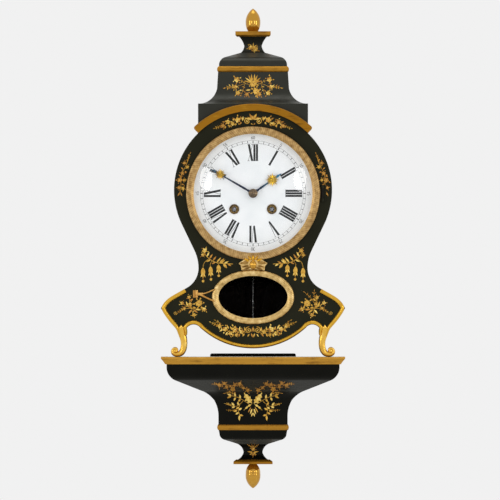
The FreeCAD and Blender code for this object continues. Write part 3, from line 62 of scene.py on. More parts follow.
class Look:
    """A material whose colour, roughness and relief are drawn by nodes."""

    def __init__(self, name, sockets):
        self.material = bpy.data.materials.new(name)
        self.material.use_nodes = True
        self.tree = self.material.node_tree
        self.shader = self.tree.nodes["Principled BSDF"]
        for socket, value in sockets.items():
            self.shader.inputs[socket].default_value = value
        self.place = self.add("ShaderNodeTexCoord", {}).outputs["Object"]

    def add(self, kind, inputs, settings=None):
        item = self.tree.nodes.new(kind)
        for name, value in (settings or {}).items():
            setattr(item, name, value)
        for name, value in inputs.items():
            if isinstance(value, bpy.types.NodeSocket):
                self.tree.links.new(value, item.inputs[name])
            else:
                item.inputs[name].default_value = value
        return item

    def noise(self, scale, detail=4, stretch=None):
        spot = self.place
        if stretch:
            spot = self.add("ShaderNodeMapping", {"Vector": spot, "Scale": stretch}).outputs["Vector"]
        return self.add("ShaderNodeTexNoise", {"Vector": spot, "Scale": scale, "Detail": detail}).outputs[0]

    def from_centre(self, centre_z):
        """The place across the front, counted from a centre at that height."""
        flat = {"Vector": self.place, "Scale": (1, 0, 1), "Location": (0, 0, -centre_z * MM)}
        return self.add("ShaderNodeMapping", flat).outputs["Vector"]

    def away(self, centre_z):
        """The distance across the front from a centre at that height."""
        item = self.add("ShaderNodeVectorMath", {0: self.from_centre(centre_z)}, {"operation": "LENGTH"})
        return item.outputs["Value"]

    def math(self, operation, first, second=0):
        item = self.add("ShaderNodeMath", {0: first, 1: second}, {"operation": operation})
        return item.outputs[0]

    def blend(self, first, first_share, second, second_share):
        return self.math("ADD", self.math("MULTIPLY", first, first_share),
                         self.math("MULTIPLY", second, second_share))

    def colours(self, amount, *stops):
        """Base colours at positions; a colour of four values is linear already."""
        ramp = self.add("ShaderNodeValToRGB", {"Fac": amount})
        elements = ramp.color_ramp.elements
        while len(elements) < len(stops):
            elements.new(0.5)
        for element, (position, colour) in zip(elements, stops):
            element.position = position
            element.color = colour if len(colour) == 4 else tone(*colour)
        self.tree.links.new(ramp.outputs["Color"], self.shader.inputs["Base Color"])

    def ramp(self, amount, start, end, low, high):
        span = {"Value": amount, "From Min": start, "From Max": end, "To Min": low, "To Max": high}
        return self.add("ShaderNodeMapRange", span).outputs["Result"]

    def spread(self, amount, low, high):
        """Roughness between low and high, over the usual reach of a noise."""
        self.tree.links.new(self.ramp(amount, 0.3, 0.7, low, high), self.shader.inputs["Roughness"])

    def relief(self, height, strength, distance):
        item = self.add("ShaderNodeBump", {"Height": height, "Strength": strength, "Distance": distance})
        self.tree.links.new(item.outputs["Normal"], self.shader.inputs["Normal"])
        return self


def lacquer_look(name, dark, light, gloss, rough, sheen, olive, lining=None):
    """Old black lacquer: faint cloudy colour, uneven gloss, brushed ground showing through.

    A lining colour is for the wall of the opening round the dial."""
    look = Look(name, {"Specular IOR Level": gloss, "Coat Weight": 0.03, "Coat Roughness": 0.2,
                       "Sheen Weight": sheen, "Sheen Roughness": 0.3,
                       "Specular Tint": olive, "Sheen Tint": olive})
    cloud = look.noise(28, 6)
    stops = [(0.32, dark), (0.68, light)]
    if lining:
        cloud = look.math("ADD", cloud, look.math("LESS_THAN", look.away(DIAL_Z), DIAL_WELL * MM))
        stops += [(0.95, light), (1, lining)]
    look.colours(cloud, *stops)
    look.spread(look.noise(70, 5, (1, 1, 2.5)), rough, rough + 0.16)
    return look.relief(look.noise(420, 3, (0.35, 1, 1)), 0.10, 0.0004)


def gilt_look(name, dark, middle, bright, rough_low, rough_high, stretch, polish=0):
    """Gold leaf on wood, with rubbed streaks that follow the moulding."""
    look = Look(name, {"Metallic": 0.82, "Specular IOR Level": 0.5, "Coat Weight": polish,
                       "Coat Roughness": 0.1, "Coat IOR": 1.6})
    worn = look.blend(look.noise(120, 8, stretch), 0.62, look.noise(45, 5), 0.38)
    look.colours(worn, (0.30, dark), (0.47, middle), (0.60, middle), (0.76, bright))
    look.spread(worn, rough_high, rough_low)
    return look.relief(look.noise(500, 6, stretch), 0.16, 0.0004)


def turned_look(name, centre_z, lines, twist, edge, dark, middle, bright):
    """Worn brass with faint slanting turned lines round a centre, blackened outside an edge as painted
    shade.
    """
    look = Look(name, {"Metallic": 0.9, "Anisotropic": 0.3})
    upright = {"Vector": look.from_centre(centre_z), "Rotation": (radians(90), 0, 0)}
    flat = look.add("ShaderNodeMapping", upright).outputs["Vector"]
    angle = look.add("ShaderNodeTexGradient", {"Vector": flat}, {"gradient_type": "RADIAL"}).outputs[1]
    radius = look.away(centre_z)
    wave = look.math("SINE", look.blend(angle, lines * tau, radius, twist))
    half = look.math("ADD", look.math("MULTIPLY", wave, 0.5), 0.5)
    worn = look.noise(150, 8)
    # Past the edge the colour goes near black: painted shade.
    painted_shade_outside = look.math("GREATER_THAN", radius, edge * MM)
    shade = look.math("SUBTRACT", look.blend(half, 0.14, worn, 0.86), painted_shade_outside)
    look.colours(shade, (0.05, (22, 20, 16)), (0.30, dark), (0.52, middle), (0.72, bright))
    look.spread(worn, 0.30, 0.46)
    return look.relief(look.math("ADD", look.math("MULTIPLY", half, 0.4), worn), 0.16, 0.0005)


def metal_look(name, dark, bright, rough_low, rough_high):
    look = Look(name, {"Metallic": 1})
    look.colours(look.noise(78, 5), (0.3, dark), (0.7, bright))
    look.spread(look.noise(260), rough_low, rough_high)
    return look.relief(look.noise(780, 3), 0.06, 0.0002)


def wood_look(name, dark, bright):
    """Dark stained boards with upright grain."""
    look = Look(name, {"Specular IOR Level": 0.3})
    grain = look.noise(60, 9, (4, 4, 0.35))
    look.colours(grain, (0.3, dark), (0.72, bright))
    look.spread(grain, 0.5, 0.72)
    return look.relief(look.noise(180, 8, (4, 4, 0.25)), 0.2, 0.0005)


def blued_look(name, near, far, low, high):
    """Blued steel whose colour changes with the distance from the dial's centre."""
    look = Look(name, {"Metallic": 1})
    cloud = look.math("MULTIPLY", look.noise(160), 0.01)
    place = look.math("ADD", look.away(DIAL_Z), cloud)
    look.colours(look.ramp(place, low * MM, high * MM, 0, 1), (0, near), (1, far))
    look.spread(look.noise(260), 0.2, 0.36)
    return look.relief(look.noise(700, 3), 0.05, 0.0002)


def paint_look(name, dark, bright, rough):
    """Gold paint for the sprays of flowers, thin in places."""
    look = Look(name, {"Metallic": 0.5})
    look.colours(look.noise(170, 5), (0.3, dark), (0.66, bright))
    look.spread(look.noise(260, 3), rough, rough + 0.15)
    return look.relief(look.noise(600, 3), 0.12, 0.0003)


def enamel_look():
    """White enamel, whiter towards the rim as painted light."""
    look = Look("enamel", {"Specular IOR Level": 0.45, "Coat Weight": 0.3, "Coat Roughness": 0.05})
    reach = look.math("MULTIPLY", look.away(DIAL_Z), 1 / (DIAL_RADIUS * MM))
    # The power of the distance paints light on the rim, against the shade the bezel throws there.
    shade = look.blend(look.noise(40, 6), 0.5, look.math("POWER", reach, 7), 0.5)
    look.colours(shade, (0.15, (233, 236, 239)), (0.35, (243, 245, 247)), (0.6, (252, 253, 254)))
    look.spread(look.noise(90), 0.12, 0.22)
    return look.relief(look.noise(120, 3), 0.03, 0.0003)


def ink_look():
    look = Look("dial_ink", {"Specular IOR Level": 0.2})
    look.colours(look.noise(300), (0.3, (8, 10, 12)), (0.7, (20, 23, 26)))
    look.spread(look.noise(200), 0.3, 0.5)
    return look


def glass_look(name, bend, dark, bright):
    """Glass that lets light straight through to what lies behind it."""
    look = Look(name, {"Roughness": 0.015, "IOR": bend, "Transmission Weight": 1})
    look.colours(look.noise(30, 2), (0.3, dark), (0.7, bright))
    clear = look.add("ShaderNodeBsdfTransparent", {})
    path = look.add("ShaderNodeLightPath", {})
    passing = look.math("MAXIMUM", path.outputs["Is Shadow Ray"], path.outputs["Is Diffuse Ray"])
    mixed = look.add("ShaderNodeMixShader", {0: passing})
    look.tree.links.new(look.shader.outputs[0], mixed.inputs[1])
    look.tree.links.new(clear.outputs[0], mixed.inputs[2])
    output = look.tree.nodes["Material Output"]
    look.tree.links.new(mixed.outputs[0], output.inputs["Surface"])
    return look


def dress(look, names):
    for name in names.split():
        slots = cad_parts[name].data.materials
        slots.clear()
        slots.append(look.material)


CASE_TONES = ((11, 12, 6), (18, 19, 11), 0.16, 0.34, 0.02, (1, 0.98, 0.62, 1))
FLAT_STREAKS = (0.25, 1, 2.2)
CURVED_STREAKS = (1, 1, 0.5)
BRIGHT_GILT = gilt_look("gilt_burnished", (172, 122, 24), (210, 162, 50), (244, 206, 104),
                        0.16, 0.30, CURVED_STREAKS)
EGG_GILT = gilt_look("gilt_finials", (138, 90, 14), (190, 140, 38), (230, 184, 82),
                     0.08, 0.16, CURVED_STREAKS, 0.35)
# The feet's gilt is paler than the burnished gilt: painted highlight.
FOOT_GILT_PAINTED_HIGHLIGHT = gilt_look("gilt_feet_painted_highlight", (184, 134, 36), (226, 178, 66), (250, 216, 120),
                      0.14, 0.28, CURVED_STREAKS, 0.25)
OVAL_BRASS = turned_look("oval_brass", OVAL_Z, 130, 1000, 200,
                         (164, 130, 74), (211, 178, 114), (240, 212, 154))
LEAF_BRASS = metal_look("leaf_brass", (134, 102, 52), (192, 154, 88), 0.28, 0.45)
HINGE_BRASS = metal_look("hinge_brass", (172, 122, 58), (226, 178, 102), 0.28, 0.45)
HOUR_BLUE = blued_look("blued_steel_hour", (20, 34, 58), (32, 112, 148), 18, 50)
MINUTE_BLUE = blued_look("blued_steel_minute", (22, 32, 60), (52, 76, 96), 40, 72)
COLLET_BRONZE = metal_look("collet_bronze", (64, 50, 38), (118, 98, 74), 0.34, 0.5)
SUN_GILT = metal_look("gilt_suns", (150, 112, 14), (210, 170, 50), 0.3, 0.45)
INK = ink_look()
PAINTS = [paint_look("painted_gold", (174, 125, 31), (218, 174, 72), 0.35),
          paint_look("painted_pale_gold", (206, 164, 60), (240, 208, 114), 0.32),
          paint_look("painted_red_gold", (148, 98, 30), (200, 142, 54), 0.38)]

dress(lacquer_look("black_lacquer_case", *CASE_TONES), "case_sides dial_hinge")
dress(lacquer_look("black_lacquer_panel", *CASE_TONES, (238, 233, 222)), "front_panel")
# The crown's lacquer has a lighter base than the case's: painted sheen for the light its curves catch.
dress(lacquer_look("black_lacquer_crown_painted_sheen", (20, 21, 17), (28, 29, 24), 0.32, 0.28, 0.16, (1, 1, 0.86, 1)),
      "crown_base crown_top")
dress(lacquer_look("black_lacquer_bracket", (3, 3, 2), (7, 7, 5), 0.07, 0.22, 0.50, (1, 1, 0.84, 1)),
      "bracket_body bracket_bowl bracket_back_rail bracket_shelf")
dress(wood_look("bare_wood", (26, 18, 12), (52, 36, 24)), "back_board")
dress(gilt_look("gilt_mouldings", (112, 72, 16), (166, 118, 34), (204, 154, 60), 0.34, 0.52, FLAT_STREAKS),
      "bracket_band crown_band crown_cap")
dress(gilt_look("gilt_shelf", (128, 86, 24), (188, 138, 48), (222, 174, 78), 0.34, 0.52, FLAT_STREAKS),
      "bracket_top_moulding")
# The darker gilt also goes on the bracket's foot plate, as painted shade for its shaded place under the
# bracket.
dress(gilt_look("gilt_eyebrow_and_shaded_plate", (104, 66, 6), (148, 100, 12), (180, 130, 32), 0.34, 0.5, (0.3, 1, 2)),
      "eyebrow_moulding bracket_foot_plate")
dress(EGG_GILT, "bracket_finial crown_finial")
dress(BRIGHT_GILT, "edge_moulding scroll_feet bezel_ornament")
# The bezel's brass is blackened outside 110.8 mm: painted shade in the gap round the ring.
dress(turned_look("bezel_brass", DIAL_Z, 190, 900, 110.8, (130, 98, 57), (173, 139, 88), (205, 173, 116)),
      "dial_bezel")
dress(OVAL_BRASS, "oval_frame")
dress(HINGE_BRASS, "oval_strap oval_hinge")
dress(metal_look("grommet_brass", (50, 34, 5), (112, 82, 20), 0.32, 0.5), "winding_grommets")
dress(metal_look("movement_brass", (176, 132, 58), (218, 180, 96), 0.22, 0.4),
      "dial_plate movement_back_plate movement_front_plate suspension_cock crutch fly hour_wheel "
      "minute_wheel third_wheel centre_wheel intermediate_wheel going_barrel escape_wheel "
      "strike_pin_wheel strike_barrel pendulum_bob rating_nut")
dress(metal_look("steel", (120, 120, 122), (182, 182, 184), 0.22, 0.38),
      "bracket_hanger_plates movement_screws bell_stand anchor suspension_spring hammer")
# The pendulum rod is polished steel, made paler still as painted light on it inside the dim case.
dress(metal_look("polished_steel_painted_light", (206, 206, 208), (240, 240, 242), 0.2, 0.34), "pendulum_rod")
# The winding arbors take a darker steel as painted shade inside the case.
dress(metal_look("shaded_steel", (76, 76, 80), (150, 150, 156), 0.3, 0.5), "going_arbor strike_arbor")
dress(HOUR_BLUE, "hour_hand")
dress(MINUTE_BLUE, "minute_hand")
dress(metal_look("bronze", (84, 60, 44), (140, 108, 84), 0.3, 0.5), "bell hand_collet cannon_pipe")
dress(enamel_look(), "dial")
dress(glass_look("glass", 1.28, (0.96, 0.975, 0.97, 1), (1, 1, 1, 1)), "dial_glass")
# The window's glass is tinted dark as painted shade over the inside of the case.
dress(glass_look("window_glass_painted_shade", 1.005, (0.30, 0.31, 0.30, 1), (0.40, 0.40, 0.39, 1)), "oval_glass")


# Mesh helpers. Points are (x, front, z) in millimetres.

TRACE_STEP = 3


def pairs(*numbers):
    """Points from a row of numbers, two for each."""
    return list(zip(numbers[::2], numbers[1::2]))


def left_of(way):
    """The unit vector to the left of a way."""
    return Vector((-way.y, way.x)).normalized()


def rotated(way, angle):
    return Vector((way.x * cos(angle) - way.y * sin(angle), way.x * sin(angle) + way.y * cos(angle)))


def sides(path):
    """The unit vector to the left of the way at each point of a flat path."""
    spots = [Vector(point) for point in path]
    return [left_of(after - before) for before, after in zip(spots[:1] + spots, spots[1:] + spots[-1:])]


def arc(start, end, bulge):
    """Points from start towards end on an arc that bulges to the left of the way, end left out."""
    start, end = Vector(start), Vector(end)
    chord = end - start
    count = max(2, int(chord.length / TRACE_STEP))
    if not bulge:
        return [tuple(start + chord * (index / count)) for index in range(count)]
    radius = (chord.length_squared / 4 + bulge * bulge) / (2 * abs(bulge))
    centre = (start + end) / 2 + left_of(chord) * (bulge - copysign(radius, bulge))
    half = atan2(chord.length / 2, radius - abs(bulge))
    turns = [-copysign(2 * half * index / count, bulge) for index in range(count)]
    return [tuple(centre + rotated(start - centre, turn)) for turn in turns]


def trace(corners):
    """A line through (x, z, bulge) corners."""
    points = []
    for first, second in zip(corners, corners[1:]):
        points += arc(first[:2], second[:2], first[2])
    return points + [tuple(corners[-1][:2])]


def soften(path, rounds):
    """The path with its corners rounded a little, its ends kept."""
    for _ in range(rounds):
        spots = [Vector(point) for point in path]
        inner = [tuple((a + 2 * b + c) / 4) for a, b, c in zip(spots, spots[1:], spots[2:])]
        path = path[:1] + inner + path[-1:]
    return path


def smooth_line(points, steps):
    """A smooth line through points of any number of values."""
    line = []
    count = len(points)
    for index in range(count - 1):
        corners = [points[min(max(index + offset, 0), count - 1)] for offset in (-1, 0, 1, 2)]
        for step in range(steps):
            t = step / steps
            line.append(tuple(0.5 * (2 * b + (c - a) * t + (2 * a - 5 * b + 4 * c - d) * t * t
                                     + (3 * b - a - 3 * c + d) * t ** 3) for a, b, c, d in zip(*corners)))
    return line + [tuple(points[-1])]


def sweep(line, section):
    """Rings along a flat line of points that begin with x and z.

    The section gives (across, front) pairs for each point."""
    rings = []
    for point, side in zip(line, sides([point[:2] for point in line])):
        x, z = point[:2]
        outline = section(*point)
        rings.append([(x + side.x * across, front, z + side.y * across) for across, front in outline])
    return rings


def oval(x, z, half, tall, front, count):
    """A ring about an axis from back to front."""
    turns = [tau * index / count for index in range(count)]
    return [(x + half * cos(turn), front, z + tall * sin(turn)) for turn in turns]


def turned(profile, x, z, count):
    """Rings of a turning about an axis from back to front, from (front, radius) points."""
    return [oval(x, z, radius, radius, front, count) for front, radius in profile]


class Shape:
    """Faces gathered for one piece."""

    def __init__(self):
        self.points = []
        self.faces = []
        self.tints = []

    def face(self, corners, tint):
        self.faces.append(corners)
        self.tints.append(tint)

    def rings(self, rings, tint=0, looped=False):
        """Joins rings of equal length, then closes the ends or goes back to the first."""
        start = len(self.points)
        size = len(rings[0])
        for ring in rings:
            self.points += ring
        for row in range(len(rings) if looped else len(rings) - 1):
            near = start + row * size
            far = start + (row + 1) % len(rings) * size
            for index in range(size):
                after = (index + 1) % size
                self.face((near + index, near + after, far + after, far + index), tint)
        if not looped:
            for first in (start, start + (len(rings) - 1) * size):
                self.face(tuple(range(first, first + size)), tint)

    def grid(self, rows, count, tint=0, flip=False):
        """Faces between the rows of points that were added last."""
        first = len(self.points) - rows * count
        for row in range(rows - 1):
            for column in range(count - 1):
                near = first + row * count + column
                face = (near, near + 1, near + count + 1, near + count)
                self.face(face[::-1] if flip else face, tint)

    def piece(self, name, looks, body, slot, replaced=None, sharp=40, closed=True):
        """A mesh that moves with a body of the clock and may stand for one of its solids."""
        mesh = bpy.data.meshes.new(name)
        mesh.from_pydata([(x * MM, -front * MM, z * MM) for x, front, z in self.points], [], self.faces)
        for look in looks:
            mesh.materials.append(look.material)
        mesh.polygons.foreach_set("material_index", self.tints)
        if closed:
            work = bmesh.new()
            work.from_mesh(mesh)
            bmesh.ops.recalc_face_normals(work, faces=work.faces)
            work.to_mesh(mesh)
            work.free()
        mesh.polygons.foreach_set("use_smooth", [True] * len(mesh.polygons))
        mesh.set_sharp_from_angle(angle=radians(sharp))
        piece = bpy.data.objects.new(name, mesh)
        bpy.context.scene.collection.objects.link(piece)
        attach(piece, body)
        if replaced:
            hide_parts(replaced)


# Carved gilt work

FOOT_TOP = 47.9
LEG_BACK, LEG_FRONT = 126, 128
BEAD_WIDE, BEAD_PROUD, BEAD_SINK, BEAD_STEPS = 6.6, 4, 0.2, 12
BEAD_END, BEAD_LEGS = 33, 105
OUTER_BEAD = [(113.1, 112, 0), (135.2, 99.6, 2), (152, 80.5, 1.5), (127.8, FOOT_TOP, -0.8),
              (121.4, BEAD_END, 0)]
ARCH_BEAD = [(109.2, 36, 0.8), (109.5, FOOT_TOP, -6), (86.5, FOOT_TOP, 33.5), (-86.5, FOOT_TOP, -6),
             (-109.5, FOOT_TOP, 0.8), (-109.2, 36, 0)]


def half_round(z, high):
    """The angles and fronts over a half-round section, which rises from the case or from a leg."""
    low = CASE_FRONT - BEAD_SINK if z > FOOT_TOP - 0.1 else LEG_BACK
    angles = [pi * index / BEAD_STEPS for index in range(BEAD_STEPS + 1)]
    return [(angle, low + (high - low) * sin(angle) ** 0.8) for angle in angles]


def bead_section(x, z):
    """The bead's section, which grows narrow and low where it runs out on a leg."""
    fade = min(1, max(0, (z - BEAD_END) / (FOOT_TOP - BEAD_END))) if abs(x) > BEAD_LEGS else 1
    high = LEG_FRONT + (CASE_FRONT + BEAD_PROUD - LEG_FRONT) * fade
    section = []
    for angle, front in half_round(z, high):
        inset = BEAD_WIDE / 2 * (1 - cos(angle)) * (0.4 + 0.6 * fade) - 0.3 * cos(angle / 2)
        section.append((-inset, front))
    return section


def make_edge_bead():
    """The half-round gilt bead round the lower case, whose ends run out on the legs."""
    shape = Shape()
    right = soften(trace(OUTER_BEAD), 3)
    left = [(-x, z) for x, z in reversed(right)]
    for path in (right, trace(ARCH_BEAD), left):
        shape.rings(sweep(path, bead_section))
    shape.piece("edge_bead", [BRIGHT_GILT], "clock", "gilt", "edge_moulding")


# Points of the feet and knees are (x, z, width).
FOOT_LINE = [(118.6, FOOT_TOP, 18.3), (118.1, 42, 14.2), (116.4, 36, 12.6), (114.6, 29.5, 11.6),
             (113.9, 23, 11.2), (114.2, 17, 11), (115.8, 11, 10.6), (118.8, 6.6, 10), (123, 4.6, 8.8),
             (127.8, 4.2, 7.6), (131.8, 6.2, 6.4), (132.8, 10.2, 5.6), (130.4, 13.6, 5),
             (126.8, 13.4, 4.4), (125.4, 10.4, 3.6), (127.6, 8.6, 2.6)]
FOOT_DEPTHS = ((98, 128), (14, 44))
FOOT_STEPS, TOE_STEPS = 20, 24
TOE_X, TOE_Z = 128.2, 9.6
TOE_EYE = pairs(-3, 3.2, 0, 3.2, 0.8, 2.6, 1.2, 1.4, 1.3, 0.3)
KNEE_LINE = [(118.6, 53, 1), (118.6, 50.6, 5), (118.6, FOOT_TOP, 12), (118.3, 44, 12.6),
             (117.2, 39, 10.6), (116, 34, 8)]
KNEE_FRONT, KNEE_SLOPE = 133.4, 0.36


def foot_section(back, front):
    """A bar's section with rounded corners between two depths."""
    turns = [tau * index / FOOT_STEPS for index in range(FOOT_STEPS)]

    def pushed(part, power):
        return copysign(abs(part) ** power, part)

    def section(_x, _z, wide):
        return [(wide / 2 * pushed(cos(turn), 0.6),
                 (front + back) / 2 + (front - back) / 2 * pushed(sin(turn), 0.3)) for turn in turns]
    return section


def knee_section(_x, z, wide):
    high = KNEE_FRONT - max(0, FOOT_TOP - z) * KNEE_SLOPE
    return [(wide / 2 * cos(angle), front) for angle, front in half_round(z, high)]


def on_side(mirror, rings):
    """Rings put to the right or the left, and kept above the shelf."""
    return [[(mirror * x, front, max(z, 0)) for x, front, z in ring] for ring in rings]


def make_feet():
    """Scroll feet with a curled toe, rounded on their front edges."""
    shape = Shape()
    for mirror in (1, -1):
        for back, front in FOOT_DEPTHS:
            shape.rings(on_side(mirror, sweep(smooth_line(FOOT_LINE, 5), foot_section(back, front))))
            eye = [(front + proud, radius) for proud, radius in TOE_EYE]
            shape.rings(turned(eye, mirror * TOE_X, TOE_Z, TOE_STEPS))
        shape.rings(on_side(mirror, sweep(smooth_line(KNEE_LINE, 5), knee_section)))
    shape.piece("carved_feet", [FOOT_GILT_PAINTED_HIGHLIGHT], "clock", "gilt", "scroll_feet", 60)


def carved_leaf(shape, base, tip, wide, floor, high, tint=0, lobes=0):
    """A leaf with a raised back, a groove along its middle and scalloped edges, on a plane at floor."""
    start = Vector(base)
    along = Vector(tip) - start
    side = left_of(along)
    rows, columns = 14, 5
    for row in range(rows + 1):
        t = row / rows
        half = wide / 2 * sin(pi * min(1, t ** 0.75)) ** 0.8
        if lobes:
            half *= 0.84 + 0.16 * abs(sin(pi * lobes * t))
        half = max(half, wide * 0.03)
        for column in range(-columns, columns + 1):
            share = column / columns
            spot = start + along * t + side * half * share
            rise = (1 - abs(share) ** 2.2) * (0.35 + 0.65 * sin(pi * (0.12 + 0.8 * t)))
            groove = 0.30 * exp(-(share * 5) ** 2)
            shape.points.append((spot.x, floor + high * max(0, rise - groove * rise), spot.y))
    shape.grid(rows + 1, 2 * columns + 1, tint)


def dome(shape, x, z, wide, tall, floor, high, tint=0, count=28, rows=7):
    """An oval boss."""
    turns = [pi / 2 * row / (rows - 0.6) for row in range(rows)]
    shape.rings([oval(x, z, wide / 2 * cos(turn), tall / 2 * cos(turn),
                      floor + high * sin(turn), count) for turn in turns], tint)


ORNAMENT_EDGE = pairs(0, 167, 7, 165.4, 13, 162.6, 18, 158.6, 23.8, 154.6, 20.8, 151, 19.8, 147, 19, 142.9,
                      14, 143.6, 8, 144.2, 0, 144.5)
ORNAMENT_RISE = pairs(1, 0, 1, 6.8, 0.98, 7.6, 0.6, 9, 0.2, 10, 0.02, 10.2)
ORNAMENT_Z, BUD_Z = 154, 152.2
# Leaves are (x, z) of the base, (x, z) of the tip, and the width.
WING_LEAVES = ((5.4, 155.6, 22.8, 154.6, 6.4), (5.4, 151, 19, 148.2, 5.2), (4.6, 148, 16.4, 144.2, 4))
BEZEL_LEAVES = ((3, 159.6, 8.4, 167.6, 5), (6, 158, 15.4, 162.8, 5.2))


def make_bezel_ornament():
    """A pointed plate with a bud between spread leaves, where the dial bezel meets the window frame."""
    shape = Shape()
    floor = CASE_FRONT + 0.4
    edge = smooth_line(ORNAMENT_EDGE, 3)
    loop = edge + [(-x, z) for x, z in reversed(edge[1:-1])]
    shape.rings([[(x * share, floor + rise, ORNAMENT_Z + (z - ORNAMENT_Z) * share) for x, z in loop]
                 for share, rise in ORNAMENT_RISE], 1)
    for mirror in (1, -1):
        for leaves, rise, high, tint in ((WING_LEAVES, 7.4, 3.4, 2), (BEZEL_LEAVES, 8.8, 2.8, 3)):
            for x, z, tip_x, tip_z, wide in leaves:
                base, tip = (mirror * x, z), (mirror * tip_x, tip_z)
                carved_leaf(shape, base, tip, wide, floor + rise, high, tint, 3)
    carved_leaf(shape, (0, 159), (0, 169), 5.8, floor + 8.8, 3, 3, 3)
    dome(shape, 0, BUD_Z, 12.2, 15.2, floor + 9, 4.6)
    for petal in range(-2, 3):
        x = petal * 2.3
        tall = 12.8 - abs(petal) * 2.2
        front = floor + 12.4 - abs(petal) * 1.2
        carved_leaf(shape, (x, BUD_Z - tall / 2), (x * 0.6, BUD_Z + tall / 2), 2.6, front, 1.5)
    shape.piece("bezel_bud", [EGG_GILT, OVAL_BRASS, LEAF_BRASS, BRIGHT_GILT], "dial_door", "bezel_brass",
                "bezel_ornament", 50)


RIM_HALF, RIM_TALL, RIM_PROUD = 68, 45, 0.3
RIM_INWARD, RIM_DOWNWARD, RIM_STEPS = 11, 10, 144
RIM_PROFILE = pairs(0, 0, 0, 3.6, 0.06, 4.8, 0.18, 5.8, 0.36, 6.3, 0.56, 6.2, 0.74, 5.6, 0.86, 4.8,
                    0.92, 4.2, 1, 4, 1, 2.1, 0.72, 2.1, 0.72, 0)


def make_oval_frame():
    """The window's rim: one broad rounded band with a fine step inside."""
    rings = []
    for share, front in RIM_PROFILE:
        half, tall = RIM_HALF - RIM_INWARD * share, RIM_TALL - RIM_DOWNWARD * share
        rings.append(oval(0, OVAL_Z, half, tall, CASE_FRONT + RIM_PROUD + front, RIM_STEPS))
    shape = Shape()
    shape.rings(rings, looped=True)
    shape.piece("oval_rim", [OVAL_BRASS], "window_door", "bezel_brass", "oval_frame", 50)


STRAP_X, STRAP_FRONT, STRAP_Z = -93, 135, OVAL_Z + 5
BARREL_STEPS = 32
# Points of the arms are (x, z, half width), counted from the barrel.
STRAP_ARMS = (
    [(0, 0, 2.4), (3, 0.1, 2), (7, 0.3, 1.5), (13, 0.9, 1.2), (20, 3.4, 1.1), (26, 6.2, 1.1),
     (31, 8.2, 0.5)],
    [(0, 0, 2.4), (3, -0.3, 2), (7, -1.5, 1.6), (13, -4.6, 1.4), (20, -8, 1.3), (26, -10.6, 1.2),
     (31, -12.2, 0.5)],
)
STRAP_SECTION = pairs(-1, 1.3, -1, 2, -0.6, 2.6, 0, 2.9, 0.6, 2.6, 1, 2, 1, 1.3)
STRAP_BARREL = pairs(1.25, -3.2, 2.3, -3.2, 2.6, -2.9, 2.6, 2.9, 2.3, 3.2, 1.25, 3.2)


def strap_section(_x, _z, half):
    return [(half * across, front) for across, front in STRAP_SECTION]


def make_strap():
    """The window's two slender arms and the barrel they turn on."""
    shape = Shape()
    for arm in STRAP_ARMS:
        shape.rings([[(STRAP_X + x, STRAP_FRONT + front, STRAP_Z + z) for x, front, z in ring]
                     for ring in sweep(smooth_line(arm, 8), strap_section)])
    turns = [tau * index / BARREL_STEPS for index in range(BARREL_STEPS)]
    shape.rings([[(STRAP_X + radius * cos(turn), STRAP_FRONT + radius * sin(turn), STRAP_Z + rise)
                  for turn in turns] for radius, rise in STRAP_BARREL], looped=True)
    shape.piece("window_strap", [HINGE_BRASS], "window_door", "bezel_brass", "oval_strap")


make_edge_bead()
make_feet()
make_bezel_ornament()
make_oval_frame()
make_strap()


# Dial markings and hands

DIAL_HOLE = 6.5
ENAMEL_RIM, ENAMEL_RISE = 119.5, 5
INK_LIFT = 0.08


def dial_front(radius):
    """How far in front of the wall the enamel lies at a distance from the dial's centre."""
    share = (radius - DIAL_HOLE) / (DIAL_RADIUS - DIAL_HOLE)
    return ENAMEL_RIM + ENAMEL_RISE * (1 - share * share)


class Ink(Shape):
    """Flat marks laid on the dial, each drawn upright at the top and turned to its place."""

    def lay(self, turn, across, out):
        x = out * sin(turn) + across * cos(turn)
        z = out * cos(turn) - across * sin(turn)
        self.points.append((x, dial_front(hypot(x, z)) + INK_LIFT, DIAL_Z + z))

    def patch(self, turn, corners, steps=6):
        """A four-sided mark: two corners at its outer end, then two at its inner end."""
        a, b, c, d = (Vector(corner) for corner in corners)
        for step in range(steps + 1):
            for start, end in ((a, d), (b, c)):
                place = start.lerp(end, step / steps)
                self.lay(turn, place.x, place.y)
        self.grid(steps + 1, 2)

    def bar(self, turn, low, high, inner, outer, steps):
        self.patch(turn, [(low, outer), (high, outer), (high, inner), (low, inner)], steps)

    def line(self, turn, points, wide):
        for (across, out), side in zip(points, sides(points)):
            for half in (wide / 2, -wide / 2):
                self.lay(turn, across + side.x * half, out + side.y * half)
        self.grid(len(points), 2)


NUMERALS = "XII I II III IIII V VI VII VIII IX X XI".split()
NUMERAL_LOW, NUMERAL_HIGH, SERIF = 53.4, 81, 0.6
LETTER_WIDE = {"I": 4.2, "V": 8.6, "X": 8.8}
